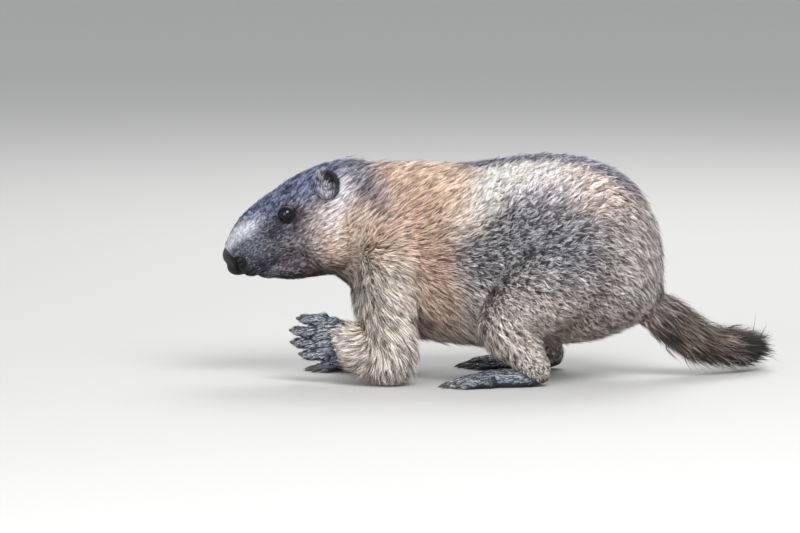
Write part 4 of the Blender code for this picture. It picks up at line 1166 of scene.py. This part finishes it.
# The nose: a bare black pad of pebbled, moist skin with a comma-shaped nostril on each side
# and a groove down its front to the lip.
NOSTRIL_LINE = (
    (0.1000, 0.0100, -0.0150),
    (0.1000, 0.0120, -0.0105),
    (0.0965, 0.0140, -0.0062),
    (0.0925, 0.0150, -0.0068),
)
NOSTRIL_WIDE = 0.0018
NOSTRIL_DEEP = 0.0034
NOSE_GRAIN = 0.0005
made = bmesh.new()
for place, radii in NOSE_FORMS:
    ball(made, in_head(*place), radii, head_turn, segments=48, rings=32)
nose_points, nose_faces = melted(made, NOSE_GRAIN)
nose_points = eased(nose_points, nose_faces, 34, np.full(len(nose_points), 0.5))
placed = from_head(nose_points)
nose_tree = tree_of(nose_points, nose_faces)
in_nostril = np.zeros(len(nose_points))
for way in (-1, 1):
    line = [in_head(a, way * s, h) for a, s, h in catmull(NOSTRIL_LINE, 6)]
    away = from_line(nose_points, [tuple(nose_tree.find_nearest(spot)[0]) for spot in line])
    in_nostril = np.maximum(in_nostril, np.exp(-((away / NOSTRIL_WIDE) ** 2)))
groove = np.exp(-((placed[:, 1] / 0.0008) ** 2)) * ramp(placed[:, 2], 0.0, -0.0040)
sunk = NOSTRIL_DEEP * in_nostril + 0.0007 * groove
nose_points -= normals_of(nose_points, nose_faces) * sunk[:, None]
data = mesh_from("nose_pad", nose_points + TO_FRAME, nose_faces)
data.shade_smooth()
nose_pad = in_scene("nose_pad", data)
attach(nose_pad, "root")
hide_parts("nose")
# The front and the top of the pad are painted greyer: painted sheen on the moist skin
top = ramp(placed[:, 2], -0.016, 0.004) * ramp(placed[:, 0], 0.0965, 0.1010)
top = np.maximum(top, ramp(placed[:, 2], -0.002, 0.006))[:, None]
tone_there = linear("#060507") * (1 - top) + linear("#332f31") * top
# Inside the sunk nostrils the colour is darkened almost to black: painted shade in their hollows
tone_there = tone_there * (1 - 0.9 * np.clip(in_nostril * 1.4, 0, 1))[:, None]
write_colours(data, "skin_tone_sheen_and_shade", tone_there)


def relief_of(tree, pattern, settings, output, strength):
    """The relief of a pattern in the object's own space, 0.2 mm deep at full strength."""
    where = add_node(tree, "ShaderNodeTexCoord")
    grain = add_node(tree, pattern, settings, {"Vector": (where, "Object")})
    depth = {"Strength": strength, "Distance": 0.0002}
    return add_node(tree, "ShaderNodeBump", depth, {"Height": (grain, output)})


# Moist, pebbled skin: a soft broken shine, near black, with a painted sheen greying its front and
# top and painted shade in the nostrils
bare, tree = fresh_material("moist_nose_skin")
PEBBLE = 0.0006
relief = relief_of(tree, "ShaderNodeTexVoronoi", {"Scale": 1 / PEBBLE}, "Distance", 0.35)
tone = add_node(tree, "ShaderNodeAttribute", {"attribute_name": "skin_tone_sheen_and_shade"})
moist = {"Roughness": 0.50, "IOR": 1.38, "Specular IOR Level": 0.3, "Coat Weight": 0.06}
shaded(tree, moist, {"Normal": (relief, "Normal"), "Base Color": (tone, "Color")})
data.materials.append(bare)

# The claws: dark brown horn, long and gently curved, for digging. Each is a tapered tube that
# grows out over the tip of its toe, with a faint grain and a low polish.
horn, tree = fresh_material("claw_horn")
HORN_GRAIN = 1 / 900
fibres = {"Scale": 1 / HORN_GRAIN, "Detail": 3.0}
relief = relief_of(tree, "ShaderNodeTexNoise", fibres, "Fac", 0.25)
polished = {"Base Color": (*linear("#2a2420"), 1), "Roughness": 0.32, "IOR": 1.55}
shaded(tree, polished, {"Normal": (relief, "Normal")})
made = bmesh.new()
for rows in claw_rows:
    tube(made, rows, sides=12, steps=5)
for vert in made.verts:
    vert.co.z = max(vert.co.z, SOLES_OFF_FLOOR)
claws = piece_from(made, "claws", horn)
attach(claws, "root")

# The whiskers: stiff dark hairs of keratin, in rows on the upper lip and a few over the eye. Each
# is a thin tapered tube that leaves the skin outwards and sweeps back along the head.
bristle, tree = fresh_material("whisker")
shaded(tree, {"Base Color": (*linear("#1b1817"), 1), "Roughness": 0.45, "IOR": 1.55})
WHISKER_ROWS = 4
WHISKERS_A_ROW = 5
WHISKER_SPANS = 6
made = bmesh.new()
skin_tree = tree_of(points, faces)
for way in (-1, 1):
    starts = [
        (0.090 - 0.0062 * j + 0.001 * i, way * 0.030, -0.0030 - 0.0042 * i)
        for i in range(WHISKER_ROWS)
        for j in range(WHISKERS_A_ROW)
    ]
    starts += [(0.046 - 0.004 * j, way * 0.040, 0.0135) for j in range(3)]
    for place in starts:
        root, out, _, _ = skin_tree.find_nearest(in_head(*place))
        reach = draw.uniform(0.020, 0.034)
        sweep = out * draw.uniform(0.30, 0.55) + UP * draw.uniform(-0.35, 0.10) - ALONG
        sweep.normalize()
        begin = (out * 0.8 - ALONG * 0.5).normalized()
        rows = []
        at = root - out * 0.0005
        for k in range(WHISKER_SPANS + 1):
            share = k / WHISKER_SPANS
            rows.append((*at, 0.00016 * (1 - share) + 0.00003))
            heading = begin.lerp(sweep, min(share * 1.6, 1)).normalized()
            at = at + heading * reach / WHISKER_SPANS
        tube(made, rows, sides=5, steps=1)
whiskers = piece_from(made, "whiskers", bristle)
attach(whiskers, "root")

# A plain pale floor of dull paint, which fades into the light behind
FLOOR_HALF = 40.0
square = np.array([(-1, -1, 0), (1, -1, 0), (1, 1, 0), (-1, 1, 0)]) * FLOOR_HALF
floor_data = mesh_from("floor", square, np.array([(0, 1, 2, 3)]))
pale, tree = fresh_material("pale_floor")
shaded(tree, {"Base Color": (*linear("#a8a7a5"), 1), "Roughness": 0.8, "IOR": 1.45})
floor_data.materials.append(pale)
floor = in_scene("floor", floor_data)

# Soft studio light: name, place, power in watts and size of each lamp, all turned to the animal
for name, place, energy, size in (
    ("key_softbox", (0.7, -2.0, 2.1), 108, 1.5),
    ("fill_softbox", (-1.4, -2.6, 0.7), 62, 1.8),
    ("rim_softbox", (0.3, 1.7, 1.7), 34, 1.2),
):
    lamp = bpy.data.lights.new(name, "AREA")
    lamp.energy = energy
    lamp.size = size
    softbox = in_scene(name, lamp)
    softbox.location = place
    way = Vector((0, 0, 0.1)) - softbox.location
    softbox.rotation_euler = way.to_track_quat("-Z", "Y").to_euler()
world = bpy.data.worlds.new("studio")
world.use_nodes = True
world.node_tree.nodes["Background"].inputs["Color"].default_value = (0.90, 0.92, 0.95, 1)
world.node_tree.nodes["Background"].inputs["Strength"].default_value = 0.85
bpy.context.scene.world = world
bpy.context.scene.view_settings.view_transform = "Standard"

# The camera: far off, so that the view is nearly flat, and a little over the animal's middle
SENSOR_WIDTH = 36
CAMERA_AWAY = 6
SEEN_WIDTH = 0.656
CAMERA_TILT = math.radians(5.5)
lens = bpy.data.cameras.new("camera")
lens.lens = SENSOR_WIDTH * CAMERA_AWAY / SEEN_WIDTH
camera = in_scene("camera", lens)
target = Vector((0.146 + FRONT, 0, 0.0915))
off = Vector((0, -math.cos(CAMERA_TILT), math.sin(CAMERA_TILT))) * CAMERA_AWAY
camera.location = target + off
camera.rotation_euler = (-off).to_track_quat("-Z", "Y").to_euler()
bpy.context.scene.camera = camera
